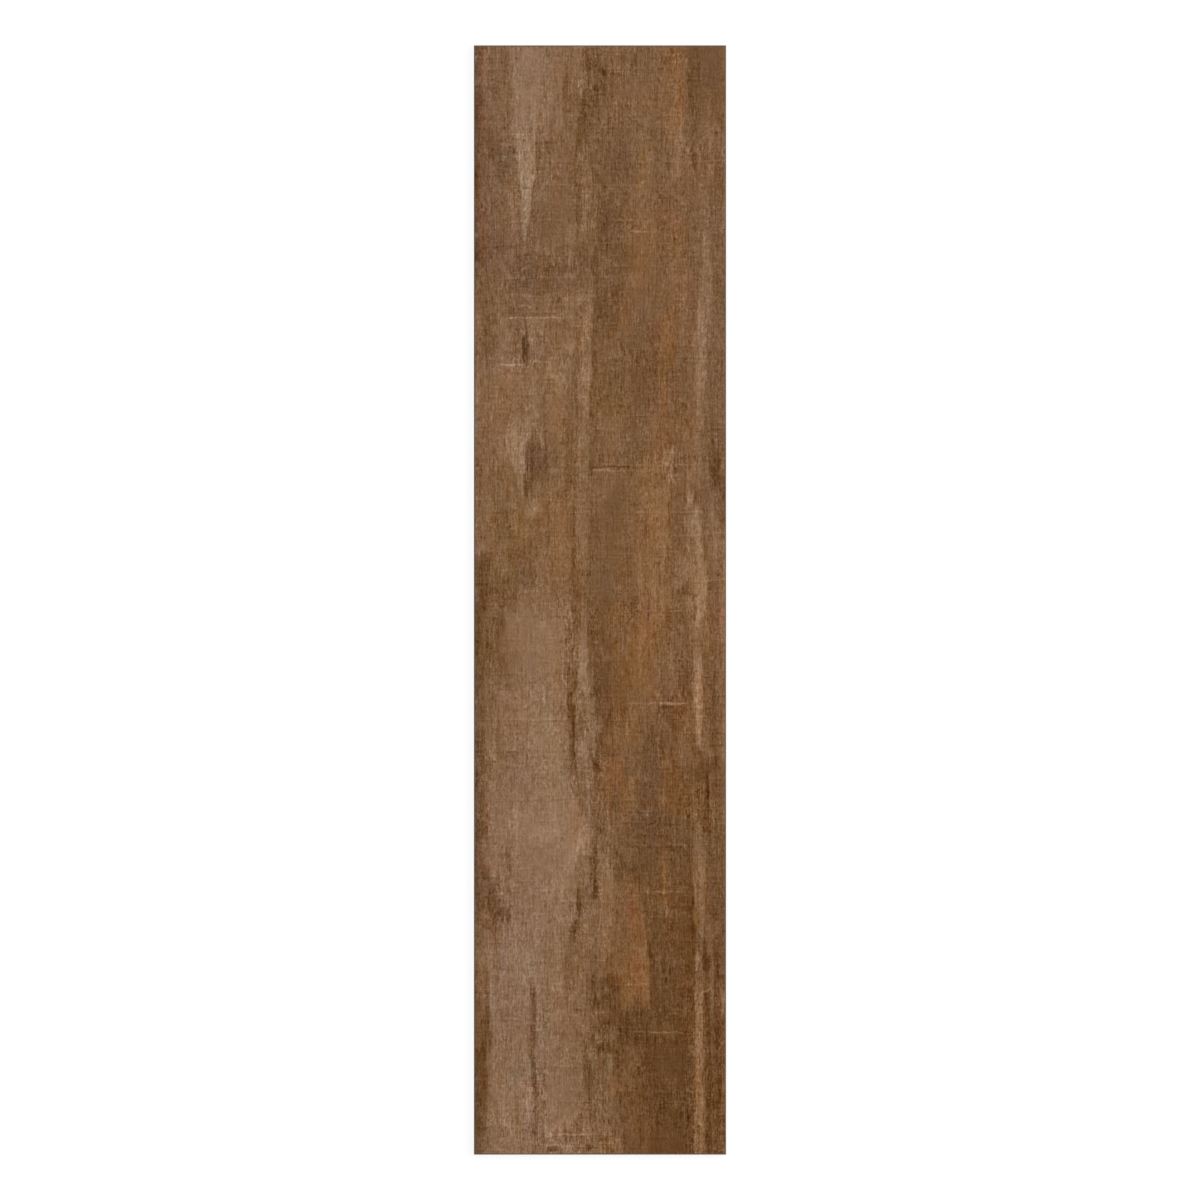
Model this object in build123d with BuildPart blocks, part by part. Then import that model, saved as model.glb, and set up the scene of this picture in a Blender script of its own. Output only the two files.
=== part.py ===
"""A wood-look porcelain plank: one pressed, fired and edge-ground slab.

The face is flat, with its grain left out. All four edges are ground square and
carry a small bevel where they meet the face. The back keeps the form of the lower
press punch: a plain border round a honeycomb of ribs and shallow drafted pockets,
which is what the mortar keys into.

Millimetres. The tile lies on its back: +Z points out of the face, +Y runs along the
length, and the origin is the middle of the back, on the rib between two pockets.
"""

import math
import os

from build123d import *

# The plank
tile_width = 200.0
tile_length = 880.0
tile_thickness = 9.5

# Its edges
face_bevel = 1.0  # ground at 45 degrees on each edge of the face
back_bevel_height = 1.6  # the press leaves a steeper lead-in on the back
back_bevel_width = 0.9

# The honeycomb on its back
pocket_pitch = 22.0  # between the middles of two pockets, along the plank
rib_width = 3.0  # level with the border
pocket_depth = 0.8
pocket_draft = 30.0  # degrees, so that the punch lets go of the clay
least_border = 8.0  # plain back between the outer pockets and an edge

pocket_flats = pocket_pitch - rib_width  # across the mouth, from flat to flat
pocket_points = pocket_flats / math.cos(math.radians(30))  # from point to point
column_pitch = pocket_pitch * math.cos(math.radians(30))


def most_that_fit(span, pitch, size):
    """How many things of one size and pitch fit in span with a border at both ends."""
    return 1 + math.floor((span - 2 * least_border - size) / pitch)


def honeycomb():
    """The middles of the pockets, column by column, the same about both middle lines.

    The middle column has an even count, so that a rib crosses the origin. The columns
    beside it have one more or one less, which shifts them by half a pitch.
    """
    columns_aside = (most_that_fit(tile_width, column_pitch, pocket_points) - 1) // 2
    longest = most_that_fit(tile_length, pocket_pitch, pocket_flats)
    middles = []
    for column in range(-columns_aside, columns_aside + 1):
        count = longest - (longest - column) % 2
        for row in range(count):
            middles.append((column * column_pitch, (row - (count - 1) / 2) * pocket_pitch))
    return middles


# What one boss of the press punch leaves: a pocket that narrows as it rises
with BuildPart() as pocket:
    with BuildSketch(Plane.XY):
        RegularPolygon(pocket_flats / 2, side_count=6, major_radius=False)
    extrude(amount=pocket_depth, taper=pocket_draft)

with BuildPart() as tile:
    # The slab as it leaves the grinder
    with BuildSketch(Plane.XY):
        Rectangle(tile_width, tile_length)
    extrude(amount=tile_thickness)

    # The bevel round the face, and the lead-in round the back
    face = tile.faces().sort_by(Axis.Z)[-1]
    chamfer(face.edges(), length=face_bevel)
    back = tile.faces().sort_by(Axis.Z)[0]
    chamfer(back.edges(), length=back_bevel_width, length2=back_bevel_height, reference=back)

    # The honeycomb: its ribs are what stays between the pockets
    with Locations(*honeycomb()):
        add(pocket.part, mode=Mode.SUBTRACT)

tile.part.label = "tile"

os.makedirs("parts", exist_ok=True)
export_step(tile.part, "parts/tile.step")
print(f"tile: {len(honeycomb())} pockets, {tile.part.volume / 1000:.1f} cm3")
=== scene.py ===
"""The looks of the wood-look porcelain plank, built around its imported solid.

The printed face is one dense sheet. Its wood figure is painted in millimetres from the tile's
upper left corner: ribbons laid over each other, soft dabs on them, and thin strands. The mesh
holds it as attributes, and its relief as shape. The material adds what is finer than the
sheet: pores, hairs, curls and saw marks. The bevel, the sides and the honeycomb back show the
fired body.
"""

# The curls and saw marks that the material adds carry painted highlights and painted shade in the
# face's colour.
import math

import bmesh
import bpy
import numpy as np
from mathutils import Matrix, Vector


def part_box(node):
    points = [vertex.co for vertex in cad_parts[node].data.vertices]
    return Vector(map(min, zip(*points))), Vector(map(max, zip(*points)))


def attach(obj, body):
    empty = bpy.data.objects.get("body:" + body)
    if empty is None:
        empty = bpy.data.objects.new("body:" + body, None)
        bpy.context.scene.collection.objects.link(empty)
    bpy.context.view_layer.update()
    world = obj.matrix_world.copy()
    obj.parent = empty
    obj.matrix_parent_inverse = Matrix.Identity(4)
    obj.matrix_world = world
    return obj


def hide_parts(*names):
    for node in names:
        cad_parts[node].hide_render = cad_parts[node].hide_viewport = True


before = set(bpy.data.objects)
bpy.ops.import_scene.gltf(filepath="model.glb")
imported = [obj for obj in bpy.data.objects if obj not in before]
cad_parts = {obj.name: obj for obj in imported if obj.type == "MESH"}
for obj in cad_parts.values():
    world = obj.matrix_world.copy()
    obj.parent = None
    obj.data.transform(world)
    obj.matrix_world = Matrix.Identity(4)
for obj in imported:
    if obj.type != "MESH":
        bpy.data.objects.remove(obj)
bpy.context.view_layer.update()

MM = 0.001
low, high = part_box("tile")
WIDTH = (high.x - low.x) / MM
LENGTH = (high.y - low.y) / MM
THICKNESS = high.z / MM

# The solid's own edges, in millimetres
FACE_BEVEL = 1.0
LEAD_IN = 1.6  # height at which the lead-in round the back ends
PAST = 0.01  # a face that reaches this much higher isn't part of the back

CLOSE = 1e-6  # millimetres within which two points are one

# The face's sheet
CELLS_ACROSS = 250
CELLS_ALONG = 355

# The saw marks, in millimetres down the plank
SAW_STROKE = 9.2  # from one to the next
SAW_WAVER = 3  # how far one strays from its place

# How deep the face is cut under its highest level, in millimetres
LEAST_DEPTH = 0.06
SAW_DEPTH = 0.06
HOLLOW_DEPTH = 0.03
FIBRE_DEPTH = 0.02
CRACK_DEPTH = 0.18
DEEPEST = 0.3  # where all of them meet

# What counts as a crack: how dark it starts, and how much darker it is at its full depth
CRACK_STARTS = 34
CRACK_SPAN = 24

# How far the edges of the painted figure are frayed, in millimetres each way
FRAY_ACROSS = 4.5
FRAY_DOWN = 20.0

# The photograph's frame: 1200 pixels across, with the tile 1109.3 pixels long
FRAME_SPAN = LENGTH * MM * 1200 / 1109.3

# The face's mean colour, and the directions in which it varies, as displayed
MEAN_COLOUR = (0.4950, 0.3634, 0.2498)
LIGHTER = (0.545, 0.571, 0.614)
WARMER = (0.715, 0.060, -0.696)
GREENER = (-0.434, 0.818, -0.376)
SHEEN = 0.0081  # what the glaze reflects of a white room, straight on
DARKEST = (0.002, 0.0012, 0.0004)  # no print is darker than this

# What one step in the lists below is worth, as displayed
LEVELS = 255  # of dabs, strands, tints and casts
TONE_STEP = 0.85 / LEVELS
WARMTH_STEP = 0.75 / LEVELS
MARK_STEP = 1.9 / LEVELS
FLECK_LEVELS = 110
PLAIN_WARMTH = -3  # where no ribbon of warmth lies

# The studio
WORLD_LIGHT = 0.55
LAMPS = {  # share of full white, azimuth, height and softness in degrees
    "key": (0.36, 20, 50, 40),
    "fill": (0.09, 140, 60, 60),
}
FLOOR_SIZE = 8
FLOOR_GAP = 0.05 * MM  # so that the tile's back doesn't share the floor's plane
FLOOR_PAINT = 0.8  # how pale the floor is to the tile
SHADOW_PAINT = 0.16  # how pale it is to the eye, before its glow
FLOOR_GLOW = 0.87  # what lifts it to white, to the eye alone
CAMERA_HEIGHT = 1.5


# The wood figure, in millimetres down and across. Each ribbon is: its tone, how soft its long
# sides are, how far its ends fade, and where it runs: (down, left, right), and so on down
# the plank. Later ribbons cover earlier ones, as paint does.

TONES = [
    # Broad coats
    (2, 12, 10, (-20, -20, 96), (430, -20, 96), (460, -20, 92), (900, -20, 92)),
    (-8, 8, 10, (-20, 96, 220), (900, 96, 220)),
    (-30, 14, 40, (540, 126, 176), (600, 124, 176), (660, 124, 220), (900, 118, 220)),
    (-28, 8, 60, (560, 181, 220), (900, 181, 220)),
    # The pale field, from the middle of the plank to its foot
    (12, 8, 30, (425, 30, 60), (455, 22, 72), (500, 20, 73)),
    (
        24, 5, 24, (446, 34, 70), (470, 22, 72), (500, 20, 73), (540, 13, 74), (580, 11, 78),
        (620, 9, 82), (660, 12, 80), (700, 20, 80), (740, 13, 76), (800, 12, 86), (900, 11, 88),
    ),
    (36, 12, 40, (495, 44, 66), (560, 44, 68), (610, 30, 76), (640, 30, 78), (660, 40, 74)),
    (38, 8, 14, (612, 60, 86), (626, 60, 88), (642, 60, 84)),
    (36, 10, 30, (690, 26, 52), (730, 22, 52), (745, 30, 50)),
    (34, 8, 14, (818, 20, 30), (858, 21, 28)),
    (38, 6, 12, (824, 35, 45), (850, 38, 46)),
    (36, 8, 10, (854, 54, 76), (870, 56, 72)),
    (12, 12, 20, (735, 72, 92), (800, 74, 90), (880, 78, 96)),
    # The top of the plank: a pale wedge that tapers down
    (18, 8, 20, (-10, 28, 76), (40, 30, 72), (72, 32, 66)),
    (36, 6, 16, (-10, 30, 58), (30, 30, 54), (60, 31, 50), (90, 33, 49), (104, 35, 48)),
    (46, 3, 14, (60, 32, 49), (100, 35, 48), (112, 38, 46), (130, 38, 45), (150, 39, 43)),
    (20, 4, 14, (98, 28, 35), (150, 28, 33)),
    (26, 5, 12, (-10, 56, 66), (46, 56, 64)),
    (-4, 5, 14, (10, 68, 79), (56, 70, 80)),
    (14, 5, 12, (-5, 80, 90), (32, 80, 90)),
    (32, 3, 6, (30, 82, 89), (42, 83, 88)),
    # Left of the wedge
    (4, 8, 16, (-10, 6, 28), (66, 6, 30)),
    (-14, 8, 14, (70, 8, 32), (112, 6, 32)),
    (-26, 4, 8, (76, 14, 23), (108, 17, 22)),
    (-2, 8, 14, (112, 6, 28), (150, 6, 28)),
    (-16, 8, 16, (154, 4, 28), (196, 4, 28)),
    # Right of the wedge
    (-16, 4, 8, (72, 50, 64), (84, 50, 62)),
    (3, 8, 14, (84, 52, 80), (130, 48, 78)),
    (-6, 8, 14, (124, 46, 74), (154, 44, 76)),
    # The slanting dark streak and its companions
    (-30, 3, 12, (-10, 87, 94), (30, 88, 93), (50, 84, 89), (70, 82, 88), (94, 79, 84)),
    (-22, 4, 12, (-8, 92, 100), (62, 93, 99)),
    (-52, 2.5, 4, (18, 101, 106), (25, 101, 106)),
    (-40, 3, 6, (30, 93, 99), (48, 93, 98)),
    (-28, 3, 5, (7, 116, 121), (14, 116, 121)),
    (-32, 3, 5, (8, 124, 129), (18, 124, 129)),
    # Across the upper right
    (-2, 10, 20, (-10, 106, 166), (56, 106, 168)),
    (12, 5, 12, (52, 150, 168), (84, 152, 168)),
    (26, 3, 8, (60, 160, 166), (86, 160, 166)),
    (4, 6, 30, (76, 131, 142), (160, 131, 143)),
    (-18, 8, 20, (78, 98, 124), (112, 96, 124)),
    (-30, 6, 14, (-10, 170, 180), (60, 170, 178), (70, 170, 176)),
    (-42, 3, 8, (16, 173, 179), (48, 171, 177)),
    (-22, 5, 14, (-10, 180, 197), (52, 181, 197)),
    (-26, 2.5, 12, (74, 172, 177), (100, 173, 178)),
    (10, 3, 12, (60, 178, 182), (112, 179, 183)),
    (12, 3, 14, (62, 184, 190), (110, 184, 190)),
    (-24, 3, 14, (50, 192, 200), (112, 193, 200)),
    (-14, 3, 14, (100, 176, 180), (150, 175, 179)),
    # Below the wedge: light streaks, then a hatched dark patch
    (12, 4, 14, (84, 83, 91), (112, 84, 91)),
    (20, 3, 14, (110, 85, 92), (162, 86, 93)),
    (24, 4, 12, (140, 73, 80), (178, 74, 80)),
    (-18, 8, 14, (158, 28, 92), (196, 30, 90)),
    (-30, 6, 8, (166, 32, 62), (192, 30, 60)),
    (-28, 6, 8, (174, 60, 76), (196, 60, 74)),
    (20, 4, 14, (142, 74, 80), (176, 74, 79)),
    (8, 8, 12, (200, 36, 94), (232, 30, 94)),
    (-38, 3, 10, (160, 93, 99), (192, 93, 99)),
    (-20, 8, 30, (112, 98, 122), (230, 98, 122)),
    (-30, 5, 12, (114, 99, 109), (148, 99, 110)),
    (-34, 5, 8, (156, 103, 123), (170, 102, 122)),
    (-32, 6, 14, (188, 97, 120), (226, 98, 116)),
    # The knot, and the light and dark round it
    (16, 6, 16, (214, 18, 38), (292, 18, 38)),
    (26, 4, 12, (232, 22, 30), (272, 22, 31)),
    (16, 5, 16, (212, 44, 52), (300, 44, 52)),
    (14, 6, 20, (236, 58, 76), (302, 58, 74)),
    (28, 3, 6, (248, 58, 64), (264, 58, 64)),
    (-18, 5, 14, (198, 8, 17), (246, 7, 18)),
    (-24, 2, 8, (216, 39, 42), (234, 38, 43)),
    (-64, 2, 5, (233, 37.5, 43), (244, 38, 43.5), (251, 38.5, 43)),
    # The pale stripe beside the long dark boundary
    (28, 4, 14, (190, 84, 93), (250, 85, 93)),
    (40, 3, 14, (254, 82, 92), (300, 82, 91)),
    (28, 4, 14, (296, 83, 90), (352, 83, 90)),
    (16, 4, 20, (350, 82, 90), (464, 81, 90)),
    (-8, 5, 14, (250, 75, 80), (300, 74, 80)),
    (-16, 4, 14, (298, 71, 80), (352, 71, 80)),
    (-20, 2, 14, (364, 77, 80), (434, 77, 80)),
    (-24, 2, 20, (196, 94, 98), (300, 92, 97), (340, 91, 96)),
    # The second pale wedge and the dark patch on its right
    (24, 5, 10, (288, 36, 48), (306, 34, 46)),
    (48, 2.5, 10, (294, 28, 44), (310, 24, 43), (326, 27, 41), (338, 33, 40.5), (356, 36, 39.5)),
    (-30, 3, 8, (316, 42, 59), (346, 41, 56)),
    (-42, 3, 8, (318, 41.5, 48), (354, 40, 46)),
    (-38, 2, 6, (316, 56, 59), (338, 56, 59)),
    (12, 6, 16, (330, 60, 71), (402, 60, 71)),
    (-8, 5, 12, (318, 16, 24), (352, 16, 26)),
    (-14, 10, 14, (366, 10, 62), (398, 10, 62)),
    # The middle of the plank, left
    (-14, 10, 14, (398, 12, 50), (446, 12, 34)),
    (-26, 6, 6, (401, 22, 46), (413, 22, 46)),
    (-22, 6, 8, (418, 18, 30), (446, 18, 28)),
    (-44, 3, 8, (403, -10, 12), (450, -10, 12)),
    (-34, 4, 20, (446, -10, 8), (600, -10, 8)),
    (-22, 5, 10, (452, 8, 21), (494, 8, 20)),
    (-22, 4, 8, (438, 75, 81), (464, 75, 82)),
    (-34, 3, 5, (455, 76, 84), (464, 76, 84)),
    # The middle of the plank, right
    (-16, 8, 20, (225, 98, 130), (350, 98, 130)),
    (-24, 6, 20, (228, 130, 150), (292, 128, 144)),
    (-28, 4, 8, (248, 144, 156), (262, 143, 155)),
    (-16, 5, 20, (232, 158, 170), (292, 157, 170)),
    (-26, 4, 6, (306, 154, 165), (317, 154, 165)),
    (28, 2, 6, (317, 151, 155), (336, 151, 154)),
    (34, 2, 6, (320, 155, 159), (348, 154, 159)),
    (12, 8, 20, (346, 138, 154), (452, 138, 153)),
    (-16, 4, 12, (350, 154, 161), (402, 154, 161)),
    (-18, 5, 6, (352, 160, 168), (368, 160, 168)),
    (-22, 6, 14, (352, 104, 120), (404, 104, 118)),
    (-26, 5, 8, (374, 91, 101), (396, 91, 101)),
    (-16, 8, 20, (400, 92, 128), (450, 92, 124)),
    (-26, 4, 5, (430, 160, 173), (437, 160, 173)),
    (-18, 3, 6, (440, 123, 129), (460, 123, 129)),
    (-22, 6, 6, (450, 150, 170), (460, 150, 170)),
    (4, 6, 14, (452, 131, 146), (522, 130, 146)),
    (-18, 8, 14, (486, 148, 172), (522, 148, 173)),
    (-32, 5, 10, (478, 163, 174), (520, 163, 174)),
    (-44, 4, 5, (524, 150, 169), (531, 150, 167)),
    (-38, 3, 6, (530, 152, 160), (543, 152, 160)),
    # The knotty dark band down the middle
    (-28, 5, 10, (444, 91, 106), (492, 91, 100)),
    (-26, 6, 14, (490, 91, 124), (546, 94, 120)),
    (-42, 4, 10, (492, 93, 108), (545, 99, 112)),
    (-44, 3, 6, (540, 96, 105), (562, 97, 105)),
    (-34, 4, 5, (557, 100, 115), (565, 98, 113)),
    (-44, 2, 5, (564, 93, 99), (576, 94, 101)),
    (-16, 6, 14, (560, 108, 126), (596, 106, 124)),
    # The stripes between the pale field and that band
    (-30, 3, 14, (488, 73, 80), (546, 75, 80), (572, 76, 80), (596, 78, 81)),
    (-42, 2.5, 6, (520, 75, 80), (546, 75, 80)),
    (38, 3, 12, (462, 84, 90), (512, 83, 90)),
    (14, 4, 14, (512, 81, 92), (600, 82, 92)),
    (28, 3, 14, (544, 85, 91), (582, 85, 90)),
    (16, 3, 10, (518, 92, 97), (560, 91, 96)),
    # The pale stripe along the right
    (16, 5, 14, (146, 180, 190), (206, 180, 190)),
    (32, 3, 10, (152, 181, 186), (180, 181, 186)),
    (38, 4, 16, (202, 178, 186), (240, 177, 184), (302, 175, 183)),
    (18, 4, 14, (296, 174, 181), (344, 172, 180)),
    (36, 2.5, 6, (352, 169, 174), (368, 168, 173)),
    (44, 3, 10, (364, 173, 180), (392, 175, 181), (412, 177, 183)),
    (48, 3, 10, (404, 177, 185), (446, 177, 185), (464, 175, 181)),
    (16, 4, 10, (456, 174, 182), (484, 174, 182)),
    (48, 2.5, 10, (478, 175, 181), (545, 176, 181), (558, 176, 180)),
    (4, 4, 14, (620, 174, 185), (654, 174, 184)),
    (16, 3, 14, (648, 174.5, 184), (724, 175, 182), (900, 175, 182)),
    # Beside it, down the right edge
    (-16, 5, 14, (288, 182, 192), (322, 182, 192)),
    (-46, 4, 8, (314, 187, 194), (350, 190, 196)),
    (-60, 3, 5, (328, 190, 195), (344, 191, 195)),
    (-28, 3, 14, (344, 195, 201), (386, 196, 201)),
    (-16, 5, 20, (452, 182, 190), (550, 182, 188)),
    (-40, 2.5, 14, (500, 188, 192), (596, 188, 193)),
    (-40, 5, 12, (562, 174, 190), (600, 176, 190)),
    (-2, 2, 14, (576, 186.5, 189.5), (622, 186.5, 189)),
    (-4, 2, 12, (596, 179, 182), (632, 180, 182.5)),
    (-22, 6, 14, (600, 190, 200), (720, 190, 200)),
    (-64, 2.5, 5, (722, 182, 187), (736, 182, 187)),
    (-34, 3, 14, (736, 182, 187), (800, 183, 188)),
    (-44, 3, 20, (756, 190, 196), (900, 189, 195)),
    (-40, 3, 20, (790, 183, 188), (900, 183, 188)),
    (-12, 2, 20, (690, 188, 190), (900, 187.5, 189.5)),
    (-60, 2.5, 8, (854, 184, 189), (884, 184, 189)),
    # The very dark field, low on the right
    (-38, 6, 14, (612, 128, 152), (652, 128, 150)),
    (-30, 6, 14, (588, 150, 173), (622, 150, 173)),
    (-56, 3, 16, (664, 139, 174), (770, 139.5, 174), (900, 138, 174)),
    (-54, 6, 8, (766, 112, 160), (800, 112, 160)),
    (-44, 8, 14, (798, 118, 142), (836, 124, 142)),
    (-34, 8, 14, (826, 112, 134), (900, 112, 134)),
    (0, 1.5, 14, (646, 149.5, 152), (668, 150, 152.5), (696, 152, 155)),
    # Beside it: lighter wood and the orange patch
    (13, 5, 14, (600, 99, 106), (640, 98, 110), (730, 99, 112)),
    (-8, 5, 14, (640, 110, 122), (740, 110, 120)),
    (-38, 4, 6, (640, 111, 119), (662, 111, 118)),
    (-16, 4, 14, (658, 121, 130), (700, 121, 134)),
    (-16, 3, 10, (690, 119, 137), (764, 118, 139)),
    (-9, 4, 8, (724, 127, 138), (758, 120, 139)),
    # The dark crack beside the pale field, and the jagged marks that follow it
    (14, 4, 14, (640, 80, 93), (668, 84, 92)),
    (-28, 3, 14, (580, 93, 97), (640, 93, 97)),
    (-48, 2.5, 6, (630, 92, 98), (662, 92, 97), (678, 93, 99)),
    (-24, 3, 6, (664, 81, 91), (688, 81, 86)),
    (-34, 2.5, 5, (668, 82, 87), (690, 81, 85)),
    (-30, 3, 5, (686, 78, 84), (712, 76, 82)),
    (-12, 6, 10, (712, 70, 80), (750, 70, 79)),
    (16, 4, 12, (690, 85, 93), (744, 85, 92)),
    # The blotchy stretch under them
    (-34, 6, 8, (738, 90, 118), (768, 92, 114)),
    (-40, 6, 8, (768, 94, 116), (802, 92, 116)),
    (-46, 5, 6, (740, 104, 118), (766, 104, 114)),
    (-24, 5, 10, (786, 87, 97), (834, 88, 98)),
    (-6, 8, 14, (804, 98, 116), (884, 96, 116)),
    (8, 5, 8, (808, 101, 114), (832, 102, 114)),
    (18, 5, 8, (856, 100, 118), (884, 100, 118)),
    # Dark marks near the foot
    (-2, 3, 4, (872, 58, 68), (877, 60, 68)),
    (-14, 3, 5, (852, 80, 85), (866, 81, 86)),
    (-20, 3, 4, (866, 86, 94), (877, 88, 98)),
    # The thin dark line in the pale field
    (-10, 3, 8, (748, 45, 50), (776, 45, 49), (800, 44.5, 48), (822, 46, 50), (900, 47, 51)),
    (6, 3, 8, (630, 26, 29), (662, 26, 29)),
    # The left edge, from the top down
    (-34, 4, 6, (12, -5, 6), (26, -5, 6)),
    (-24, 4, 8, (30, -5, 5), (98, -5, 4)),
    (-22, 4, 10, (98, -5, 3.5), (152, -5, 3)),
    (-44, 4, 6, (154, -5, 9), (173, -5, 8)),
    (-18, 4, 10, (172, -5, 5), (206, -5, 4)),
    (-34, 4, 14, (596, -5, 6), (656, -5, 5)),
    (-22, 4, 10, (600, 4, 10), (626, 4, 10)),
    (-28, 5, 8, (652, -5, 12), (704, -5, 10)),
    (-30, 5, 8, (662, 6, 19), (688, 8, 20)),
    (-20, 6, 8, (676, 14, 28), (696, 16, 30)),
    (-12, 5, 10, (698, -5, 10), (736, -5, 12)),
    (-40, 4, 10, (736, -5, 12), (772, -5, 12.5), (800, -5, 11)),
    (-52, 4, 10, (756, 0, 11), (800, -5, 10), (846, -5, 10)),
    (-36, 4, 10, (842, -5, 9), (900, -5, 8)),
]

# Dabs that lighten the figure under them or, below zero, darken it. Each is: how light, its
# middle across and down, half its width and half its length.

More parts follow.
